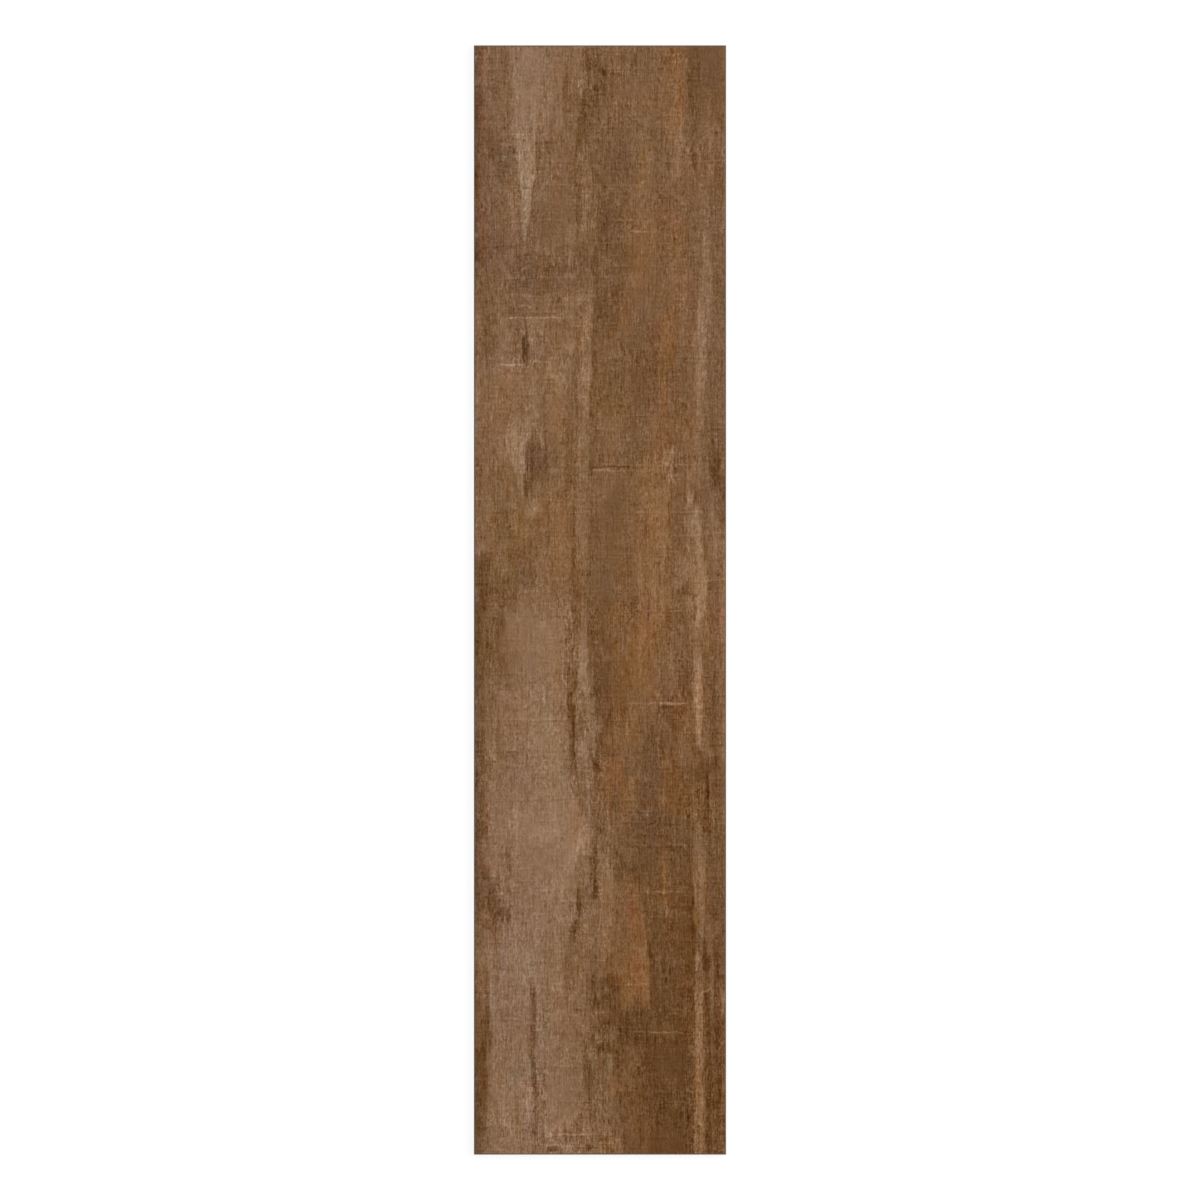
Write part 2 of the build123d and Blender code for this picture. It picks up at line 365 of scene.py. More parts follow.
DABS = [
    # Down the left edge
    (-26, 2, 4, 7, 8), (-20, 4, 41, 5, 10), (-26, 2, 56, 5, 8), (-15, 2, 72, 5, 12),
    (-18, 1, 92, 4, 10), (-26, 0, 105, 4, 10), (-22, 1, 121, 5, 10), (-25, 4, 138, 4, 10),
    (-12, 1, 174, 4, 16), (-9, 17, 40, 4, 5), (15, 8, 156, 4, 4), (18, 3, 258, 5, 4),
    (19, 2, 280, 5, 14), (18, 1, 305, 4, 4), (-12, 4, 348, 4, 13), (24, 3, 405, 7, 6),
    (24, 1, 430, 3, 16), (-22, 6, 451, 8, 5), (-14, 4, 458, 5, 4), (-17, 2, 473, 3.5, 8),
    (-11, 2, 506, 4, 5), (15, 5, 520, 4, 8), (13, 3, 535, 4, 7), (13, 8, 585, 4, 4),
    (9, 2, 572, 4, 6), (-16, 11, 616, 3, 6), (-13, 7, 628, 4, 5), (15, 8, 671, 3, 7),
    (24, 7, 692, 4, 5), (20, 10, 712, 5, 10), (22, 12, 724, 5, 8), (12, 5, 722, 4, 6),
    (30, 6, 746, 7, 12), (30, 9, 762, 6, 8), (24, 3, 768, 7, 10), (20, 4, 785, 5, 12),
    (-24, 13, 786, 3, 9), (-16, 6, 799, 6, 3.5), (-13, 11.5, 812, 3, 10), (-11, 12, 836, 3, 8),
    (12, 1, 816, 2.5, 5), (-18, 1, 855, 5, 9), (-22, 11, 858, 3.5, 9), (-12, 11, 872, 3, 7),
    # Round the wedge at the top
    (20, 88, 0, 10, 5), (14, 94.5, 11, 3, 6), (20, 94, 36, 3, 7), (8, 94.5, 24, 3, 5),
    (15, 69.5, 20, 4, 9), (8, 77, 16, 4, 8), (12, 32, 42, 4, 5), (15, 54, 50, 5, 4),
    (6, 35, 44, 16, 14), (12, 67, 57, 3.5, 8), (-10, 43, 65, 8, 4), (-7, 42, 76, 7, 5),
    (28, 57, 72, 7, 4), (26, 52, 77, 4, 4), (13, 25, 72, 5, 12), (13, 23, 86, 4, 5),
    (15, 15, 96, 6, 6), (13, 15, 106, 4, 4), (-12, 33, 96, 2.5, 7), (9, 27, 105, 3.5, 8),
    (19, 57, 107, 6, 4), (13, 47, 104, 4, 3), (10, 62, 94, 6, 5), (11, 74, 74, 4, 4),
    (13, 30, 124, 3.5, 5), (-18, 89, 58, 3.5, 12), (-15, 94, 65, 5, 5), (-18, 93, 90, 3, 7),
    (-15, 81, 108, 5, 8), (-12, 82, 120, 6, 9), (13, 92.5, 106, 2.5, 5), (-15, 83, 136, 3.5, 6),
    (-14, 80, 141, 4, 5), (-17, 93, 135, 4, 3.5), (-16, 92, 148, 3.5, 8), (-12, 86, 155, 7, 4),
    (-10, 53, 153, 4, 4), (-8, 17, 125, 4, 6),
    # The hatched patch and below it, to the knot
    (12, 45, 178, 36, 20), (12, 40, 161, 8, 6), (14, 62, 164, 6, 6), (12, 24, 179, 6, 5),
    (14, 22, 192, 3, 10), (10, 54, 180, 6, 4), (16, 72, 188, 5, 9), (12, 78, 182, 6, 3.5),
    (8, 40, 185, 9, 5), (14, 77, 202, 6, 4), (-12, 54, 196, 4, 5), (-15, 38, 203, 6, 4),
    (-18, 33, 211, 13, 4), (-20, 33, 223, 5, 11), (-24, 86, 193, 3, 7), (-16, 88, 208, 6, 4),
    (10, 70, 214, 11, 4), (8, 12, 208, 5, 6), (12, 16, 228, 3, 5), (28, 42.5, 233, 5, 4),
    (18, 76, 237, 6, 8), (12, 80, 238, 2.5, 5), (18, 32, 253, 5, 5), (22, 41, 250, 3, 5),
    (20, 76, 256, 5, 6), (20, 69, 266, 5, 6), (10, 53, 243, 4, 3), (10, 15, 272, 3.5, 11),
    (11, 44, 270, 5, 15), (-7, 23, 272, 4, 9), (-10, 72.5, 283, 3, 5),
    # Round the second wedge
    (-16, 33, 297, 8, 9), (-18, 39, 293, 4, 7), (-14, 36, 306, 7, 4), (13, 49, 290, 4, 4),
    (16, 69.5, 307, 4, 5), (27, 42.5, 318, 2.5, 8), (18, 53, 318, 5, 6), (15, 48, 328, 6, 3),
    (24, 22, 322, 5, 6), (20, 19, 331, 3, 5), (12, 17, 310, 6, 9), (-13, 62, 326, 5, 7),
    (-15, 60, 341, 4, 5), (-9, 66, 341, 5, 3), (-12, 32, 330, 3, 5), (-13, 36, 345, 2.5, 9),
    (-9, 72, 356, 6, 4), (28, 47, 369, 8, 7), (22, 33, 378, 4, 7), (12, 44, 384, 17, 10),
    (12, 54, 392, 5, 8), (14, 11, 372, 4, 13), (10, 14, 390, 4, 5), (20, 20, 406, 5, 8),
    (18, 25, 416, 4, 6), (15, 44, 409, 17, 3), (-13, 46, 426, 4, 8), (13, 36, 437, 3, 9),
    (-10, 64, 437, 4, 4),
    # The pale stripe in the middle of the plank
    (-20, 85, 253, 4, 5), (-16, 86, 275, 3, 5), (-26, 84.5, 293, 4.5, 10), (-14, 84, 306, 3, 7),
    (16, 93, 263, 3, 8), (-7, 87, 242, 5, 6), (-11, 87, 332, 5, 14), (-16, 88.5, 358, 4, 14),
    (-20, 82, 420, 3, 14), (-22, 83, 431, 3.5, 7), (-12, 89, 425, 4, 12), (-10, 80, 398, 2.5, 8),
    (-18, 87, 438, 4, 7), (14, 75, 441, 4, 5), (25, 77, 451, 4, 5), (24, 76, 459, 4, 4),
    (-24, 87, 461, 4.5, 5), (-14, 86, 472, 5, 6), (16, 76, 491, 5, 6), (18, 75, 508, 4, 9),
    (16, 86, 495, 8, 6), (24, 92, 502, 3, 7), (14, 90, 511, 4, 4), (25, 79, 522, 4, 5),
    (25, 75.5, 556, 3, 10), (16, 75, 543, 3, 6), (28, 78.5, 588, 3, 14), (-13, 83, 546, 4, 12),
    (-12, 88, 542, 4, 4), (-16, 86, 575, 3, 10), (26, 99, 540, 3.5, 9), (20, 97, 566, 6, 4),
    (16, 94, 582, 3, 12), (18, 94, 598, 3, 12), (29, 93, 625, 4, 18), (26, 86, 634, 5, 8),
    (24, 80, 643, 5, 7), (16, 75, 651, 4, 7), (28, 93, 658, 4, 12), (24, 84, 665, 5, 5),
    (16, 86, 676, 4, 8), (28, 79, 692, 4.5, 7), (14, 81, 707, 3, 5), (12, 92, 688, 6, 4),
    (20, 71, 717, 4, 6),
    # The pale field
    (17, 15, 461, 3, 5), (15, 15, 471, 2.5, 4), (13, 17, 491, 2.5, 7), (-26, 22.5, 476, 4, 22),
    (-24, 24.5, 494, 4, 8), (-14, 30, 488, 6, 24), (-20, 22, 454, 3, 8), (-18, 25, 508, 5, 6),
    (-12, 24, 522, 9, 8), (-14, 18, 537, 6, 9), (-18, 20, 550, 4, 8), (-22, 26, 561, 9, 3),
    (-20, 21, 580, 3, 12), (-15, 12, 499, 3, 4), (-12, 13, 516, 2.5, 5), (-14, 13.5, 576, 2.5, 6),
    (-11, 29, 583, 4, 5), (-18, 42, 593, 4, 7), (-8, 36, 603, 5, 4), (16, 61, 475, 3.5, 8),
    (10, 52, 464, 8, 7), (9, 50, 482, 8, 5), (-15, 66, 499, 4, 4), (-13, 70, 526, 4, 5),
    (17, 61, 540, 4.5, 12), (10, 40, 534, 4, 10), (14, 52, 550, 6, 5), (15, 32, 616, 4, 10),
    (12, 24, 624, 9, 4), (14, 55, 624, 14, 6), (12, 62, 608, 5, 10), (-12, 28, 651, 2.5, 7),
    (12, 13, 652, 3, 4), (-7, 42, 640, 8, 9), (15, 68, 665, 7, 12), (14, 58, 670, 5, 9),
    (15, 18, 670, 4, 6), (24, 25, 680, 5, 5), (-18, 18, 692, 5, 9), (-15, 28, 700, 3.5, 8),
    (-18, 46, 708, 3.5, 4), (-14, 19, 713, 2.5, 5), (-8, 26, 714, 4, 4), (14, 56, 692, 5, 10),
    (-9, 60, 722, 5, 6), (13, 33, 757, 6, 4), (8, 35, 725, 9, 10), (8, 37, 742, 10, 8),
    (22, 48, 748, 4, 5), (11, 51, 768, 3, 10), (14, 70, 744, 5, 6), (-12, 70, 757, 8, 3),
    (-10, 71, 768, 3, 4), (-20, 70, 785, 3.5, 5), (-13, 68, 800, 5, 8), (-14, 79, 814, 5, 4),
    (16, 24, 853, 3, 6), (8, 24, 842, 3, 6), (18, 46, 832, 3.5, 6), (14, 46, 847, 3.5, 8),
    (-17, 52, 851, 2.5, 8), (-12, 53, 866, 3, 6), (20, 75, 853, 8, 3.5), (-18, 70, 865, 8, 5),
    (24, 48.5, 874, 3, 6), (12, 60, 862, 5, 4),
    # Upper right
    (-16, 128, 14, 2.5, 6), (-12, 118, 11, 3, 4), (-18, 103, 30, 4, 9), (-9, 110, 30, 5, 9),
    (-7, 153, 12, 4, 10), (23, 136, 61, 5, 6), (11, 134, 76, 4, 8), (12, 140, 84, 4, 7),
    (10, 124, 76, 2.5, 8), (-12, 154, 56, 3, 5), (25, 161, 90, 5, 7), (24, 161, 101, 5, 8),
    (10, 169, 87, 4, 5), (13, 172, 98, 3, 6), (20, 199, 82, 5, 20), (16, 192, 75, 4, 6),
    (-13, 180.5, 72, 2.5, 12), (-12, 182, 96, 2.5, 8), (12, 160, 38, 2.5, 12), (10, 176, 38, 3, 9),
    (11, 185, 42, 3, 10), (17, 104, 116, 6, 5), (7, 128, 114, 18, 7), (14, 181, 128, 4, 16),
    (14, 118, 152, 3.5, 9), (13, 113, 168, 4.5, 9), (9, 104, 186, 6, 22), (18, 123, 186, 11, 6),
    (14, 165, 184, 9, 6), (14, 166, 206, 3, 20), (10, 156, 192, 4, 10), (-11, 186, 160, 6, 9),
    (-10, 181, 172, 4, 8), (-17, 181.5, 200, 3.5, 6), (13, 188, 226, 4, 14), (12, 116, 210, 4, 8),
    (-8, 136, 218, 4, 8),
    # Right, from the knot down to the middle of the plank
    (14, 113, 245, 10, 3.5), (18, 153, 254, 2.5, 7), (10, 153, 235, 2.5, 10), (17, 165, 231, 4, 8),
    (21, 176, 234, 2.5, 12), (15, 121, 267, 4, 6), (12, 142, 280, 3.5, 18), (10, 144, 302, 3.5, 10),
    (14, 106, 304, 8, 10), (11, 116, 302, 9, 14), (20, 160, 309, 4, 5), (18, 167, 310, 4, 4),
    (-13, 181, 274, 3, 5), (-15, 175.5, 324, 2.5, 10), (15, 190, 318, 3.5, 5), (12, 194, 328, 3, 6),
    (12, 112, 318, 10, 6), (10, 112, 336, 8, 3), (16, 141, 334, 11, 6), (20, 150, 334, 3, 7),
    (-16, 154, 328, 2.5, 9), (-9, 159, 332, 3, 9), (16, 134, 358, 3.5, 9), (12, 134, 371, 3, 6),
    (15, 170, 344, 3, 6), (11, 105, 352, 5, 5), (9, 154, 354, 3, 6), (20, 168, 365, 4, 4),
    (26, 172, 375, 4, 8), (24, 172, 394, 4, 14), (26, 172, 420, 5, 18), (26, 163, 430, 5, 5),
    (18, 164, 415, 5, 14), (14, 154, 387, 3, 6), (-17, 176, 362, 3, 6), (-9, 180, 354, 2.5, 5),
    (16, 189, 368, 2.5, 10), (28, 193, 388, 4, 10), (24, 192, 402, 4, 10), (14, 182, 386, 3, 6),
    (-18, 182.5, 408, 2.5, 4.5), (16, 132, 412, 3, 24), (-9, 150, 416, 7, 13),
    (-12, 124, 388, 3, 3), (25, 200, 436, 5, 52), (12, 116, 434, 6, 6), (11, 115, 392, 5, 3),
    # Right, from the middle of the plank to the dark field
    (-20, 106, 476, 5, 7), (-13, 112, 472, 5, 6), (-16, 146, 477, 3, 7), (-12, 138, 492, 4, 8),
    (-18, 141, 500, 4, 8), (-14, 134, 507, 4, 6), (-18, 142, 517, 3, 5), (-10, 132, 518, 4, 4),
    (23, 157, 488, 3, 9), (22, 169, 485, 4, 9), (-20, 178, 482, 2.5, 9), (20, 184, 468, 3, 12),
    (22, 171, 441, 5, 6), (20, 177, 453, 3, 7), (-14, 158, 516, 4, 4), (10, 162, 522, 12, 4),
    (12, 168, 506, 5, 6), (12, 153, 502, 5, 8), (16, 168, 538, 4, 6), (22, 165, 550, 5, 5),
    (18, 165, 562, 6, 8), (10, 150, 540, 8, 6), (-22, 176, 550, 3, 8), (20, 176, 566, 4, 5),
    (20, 187, 565, 4, 6), (12, 182, 553, 3, 5), (14, 112, 543, 10, 4), (14, 121, 550, 3, 7),
    (16, 131, 556, 4, 7), (14, 118, 564, 4, 5), (14, 126, 567, 4, 5), (16, 130, 582, 8, 5),
    (15, 125, 592, 6, 8), (19, 152, 572, 5, 4), (18, 149, 598, 3, 6), (10, 138, 607, 5, 5),
    (-17, 187, 588, 3, 10), (-20, 184, 616, 4, 16), (-20, 176.5, 621, 3, 8), (22, 199, 562, 4, 8),
    (16, 199, 606, 4, 9), (-13, 122, 626, 3, 7), (-22, 99, 618, 3, 10), (-20, 104, 625, 3.5, 16),
    (-20, 106, 602, 8, 5), (12, 142, 631, 8, 3), (-14, 160, 638, 8, 4), (14, 148, 645, 3, 6),
    (-20, 175, 651, 2.5, 6), (-27, 124, 654, 5, 4), (-27, 128, 662, 3.5, 5), (-10, 163, 652, 4, 8),
    (10, 105, 655, 5, 6), (14, 104, 525, 4, 8),
    # The dark field, the orange patch and the right edge beside them
    (19, 145, 680, 6, 14), (16, 162, 671, 10, 5), (14, 158, 684, 5, 10), (10, 152, 722, 20, 48),
    (8, 156, 725, 5, 9), (8, 166, 724, 6, 4), (8, 146, 724, 3, 6), (8, 168, 742, 6, 5),
    (8, 155, 763, 6, 4), (10, 168, 762, 6, 5), (-26, 176, 702, 4, 18), (-28, 179, 716, 4, 8),
    (-24, 177, 741, 4, 10), (-14, 182, 728, 5, 5), (-20, 184, 762, 3.5, 9),
    (-16, 186.5, 780, 2.5, 12), (-18, 187.5, 812, 2.5, 26), (-18, 188, 840, 3, 12),
    (-13, 193, 672, 4, 16), (-18, 192, 690, 3, 7), (-14, 192.5, 715, 3.5, 14),
    (-14, 192, 742, 3, 12), (9, 186, 702, 2, 14), (27, 199, 756, 4, 12), (12, 199, 784, 3, 8),
    (-15, 192.5, 784, 3, 10), (-16, 193, 830, 4, 16), (-10, 194, 805, 3, 8), (15, 175, 785, 5, 8),
    (14, 172, 797, 4, 6), (13, 181.5, 796, 2, 16), (13, 150, 782, 12, 5), (10, 142, 770, 4, 10),
    (14, 125, 796, 6, 4), (21, 126, 808, 4, 6), (22, 122, 817, 4, 6), (14, 127, 822, 4, 5),
    (-12, 137, 807, 5, 8), (-17, 134, 834, 3.5, 9), (-11, 133.5, 862, 3, 16), (13, 155, 822, 8, 7),
    (19, 168, 828, 4, 10), (14, 162, 838, 7, 4), (8, 150, 860, 12, 14), (-11, 175, 808, 3, 8),
    (-13, 179, 845, 3, 6), (-14, 179, 868, 3, 12), (12, 127, 862, 3, 7),
    # The knotty band, from the dark field to the foot
    (-22, 94, 722, 6, 4), (-12, 85, 722, 5, 4), (-20, 94, 732, 3.5, 6), (-24, 107, 727, 4, 7),
    (-20, 82, 763, 4, 5), (19, 98, 751, 7, 5), (27, 98, 772, 4, 8), (28, 100, 788, 4, 8),
    (24, 107, 787, 4, 8), (14, 89, 786, 3.5, 8), (22, 92, 799, 3, 6), (12, 95, 808, 3.5, 6),
    (14, 88, 816, 4, 4), (-11, 84, 785, 3, 8), (-26, 103, 815, 3.5, 9), (-28, 114, 812, 4, 11),
    (-10, 109, 826, 9, 4), (-16, 114, 840, 4.5, 9), (-28, 112, 859, 4.5, 5), (-26, 115, 865, 4, 4),
    (-30, 104, 873, 5, 8), (-22, 111, 876, 5, 6), (-18, 90, 842, 3.5, 9), (-14, 94, 852, 3, 5),
    (16, 98.5, 842, 3, 8), (14, 86, 862, 5, 7), (14, 95, 872, 6, 6),
    # Smaller ones, top of the plank
    (24, 87, 2, 3, 6), (13, 43, 13, 4, 12), (-12, 7, 45, 2.5, 9), (-9, 20, 38, 5, 5),
    (20, 85, 40, 2.5, 6), (12, 93, 30, 2, 14), (-12, 47, 84, 1.5, 9), (-17, 90, 72, 4, 14),
    (18, 51, 106, 2, 5), (-22, 3, 108, 3, 8), (-19, 7, 126, 4, 7), (-12, 98, 110, 2, 6),
    (14, 73, 157, 2.5, 5), (12, 113, 155, 4, 5), (-10, 141, 140, 10, 7), (-8, 152, 143, 8, 7),
    (28, 199, 52, 2.5, 9), (26, 199, 130, 2.5, 12), (14, 198, 96, 2, 12), (-13, 191, 80, 1.5, 14),
    (-13, 195, 105, 1.5, 16), (-15, 32, 195, 3, 5), (-22, 86, 213, 4, 9), (-18, 50, 214, 2.5, 6),
    (16, 54, 230, 2, 7), (-16, 47, 248, 2, 5), (-14, 58, 190, 2, 14), (20, 192, 215, 2, 7),
    (-18, 199, 200, 2, 16), (16, 78, 262, 2, 8), (18, 4, 266, 2, 6), (-14, 86, 278, 3, 6),
    (-16, 2, 170, 2, 7), (10, 58, 52, 4, 14), (10, 48, 60, 2, 8),
    # Smaller ones, from the second wedge to the long crack
    (-10, 110, 302, 5, 8), (-16, 84, 326, 2, 6), (22, 50, 373, 2.5, 5), (12, 31, 370, 3, 9),
    (-16, 35, 385, 3, 4), (-16, 46, 384, 3, 4), (14, 25, 398, 4, 5), (10, 107, 335, 8, 15),
    (14, 153, 364, 2, 7), (18, 143, 375, 2, 7), (-24, 199, 367, 2, 7), (13, 190, 378, 4, 8),
    (-16, 168, 362, 1.5, 6), (17, 124, 430, 3, 7), (17, 133, 432, 3, 9), (-15, 190, 433, 4, 8),
    (-14, 170, 434, 2, 5), (12, 122, 453, 2, 5), (13, 133, 470, 3, 9), (-16, 165, 461, 1.5, 5),
    (-14, 146, 462, 3, 4), (-28, 77, 475, 3, 5), (-12, 73, 495, 3, 12), (16, 77, 450, 2, 6),
    (-14, 85, 448, 2, 6), (15, 74, 525, 2, 9), (-14, 45, 530, 3, 5), (-14, 66, 530, 4, 4),
    (27, 199, 544, 2, 9), (-14, 187, 558, 2, 6), (12, 197, 470, 2, 26), (12, 114, 530, 3, 10),
    (-18, 14, 430, 1.5, 8), (-16, 2, 424, 2, 8), (-10, 9, 305, 5, 8),
    # Smaller ones, foot of the plank
    (16, 95, 636, 3, 10), (-14, 75, 645, 5, 8), (-14, 115, 628, 5, 7), (-12, 103, 642, 3, 6),
    (14, 32, 640, 3, 7), (-16, 49, 657, 3, 6), (-12, 22, 665, 2, 9), (-18, 2, 665, 2, 14),
    (18, 67, 690, 3, 7), (-10, 35, 692, 8, 8), (-18, 137, 695, 2.5, 9), (-16, 139, 722, 2, 14),
    (10, 128, 672, 5, 10), (10, 128, 695, 3, 8), (-14, 97, 718, 3, 5), (-12, 118, 720, 4, 6),
    (-15, 108, 740, 6, 8), (-20, 3, 755, 3, 13), (-14, 7, 764, 2, 6), (18, 40, 760, 2, 8),
    (-16, 75, 756, 2, 4), (-16, 86, 746, 1.5, 5), (18, 98, 792, 3, 4), (14, 90, 788, 2, 5),
    (14, 111, 793, 2, 5), (-16, 23, 785, 2, 5), (-14, 143, 767, 2, 6), (-13, 162, 785, 3, 5),
    (12, 132, 812, 3, 9), (-16, 114, 822, 3, 4), (-14, 104, 828, 3, 6), (16, 105, 845, 3, 8),
    (14, 109, 862, 3, 5), (26, 99, 878, 3, 7), (-16, 135, 842, 2, 5), (-14, 54, 866, 4, 9),
    (14, 14, 852, 2, 9), (14, 6, 870, 3, 8), (-20, 11, 878, 1.5, 5), (12, 34, 872, 3, 7),
    (-20, 131, 762, 8, 4), (12, 35, 85, 2, 16), (9, 38, 112, 1.5, 10), (8, 41, 92, 6, 20),
    (8, 41.5, 126, 3, 12), (-16, 58.5, 76, 2, 4), (-18, 52, 82, 1.5, 4), (-20, 94, 749, 1.3, 3),
    (-20, 101, 748.5, 2, 2.5), (-22, 96, 758, 1.3, 4), (-22, 98.3, 765, 1.2, 4),
    (-20, 92.5, 776, 1.3, 4), (-24, 107, 776, 2.2, 3), (-18, 103, 775, 1.5, 2.5),
    (-20, 98, 782, 1.6, 2.5), (-22, 92, 784, 1.3, 3), (-22, 95, 791, 1.3, 3.5),
    (-22, 107, 794, 1.4, 4), (-20, 100, 798, 3, 2.5), (-18, 88, 793, 1.6, 5),
    (-18, 122, 770, 1.6, 4), (-18, 116, 779, 1.6, 4), (-18, 104, 806, 2, 3), (-20, 92, 815, 1.6, 4),
    (-18, 98, 822, 1.6, 4), (13, 184, 845, 2, 10), (14, 170, 757, 6, 4), (-12, 18, 724, 7, 4),
    (14, 174, 775, 2, 5),
]

# Strands: dark cracks, pale hairs and crisp borders. Each is: how light, half its width, and
# the points that it runs through: (down, across), and so on down the plank.

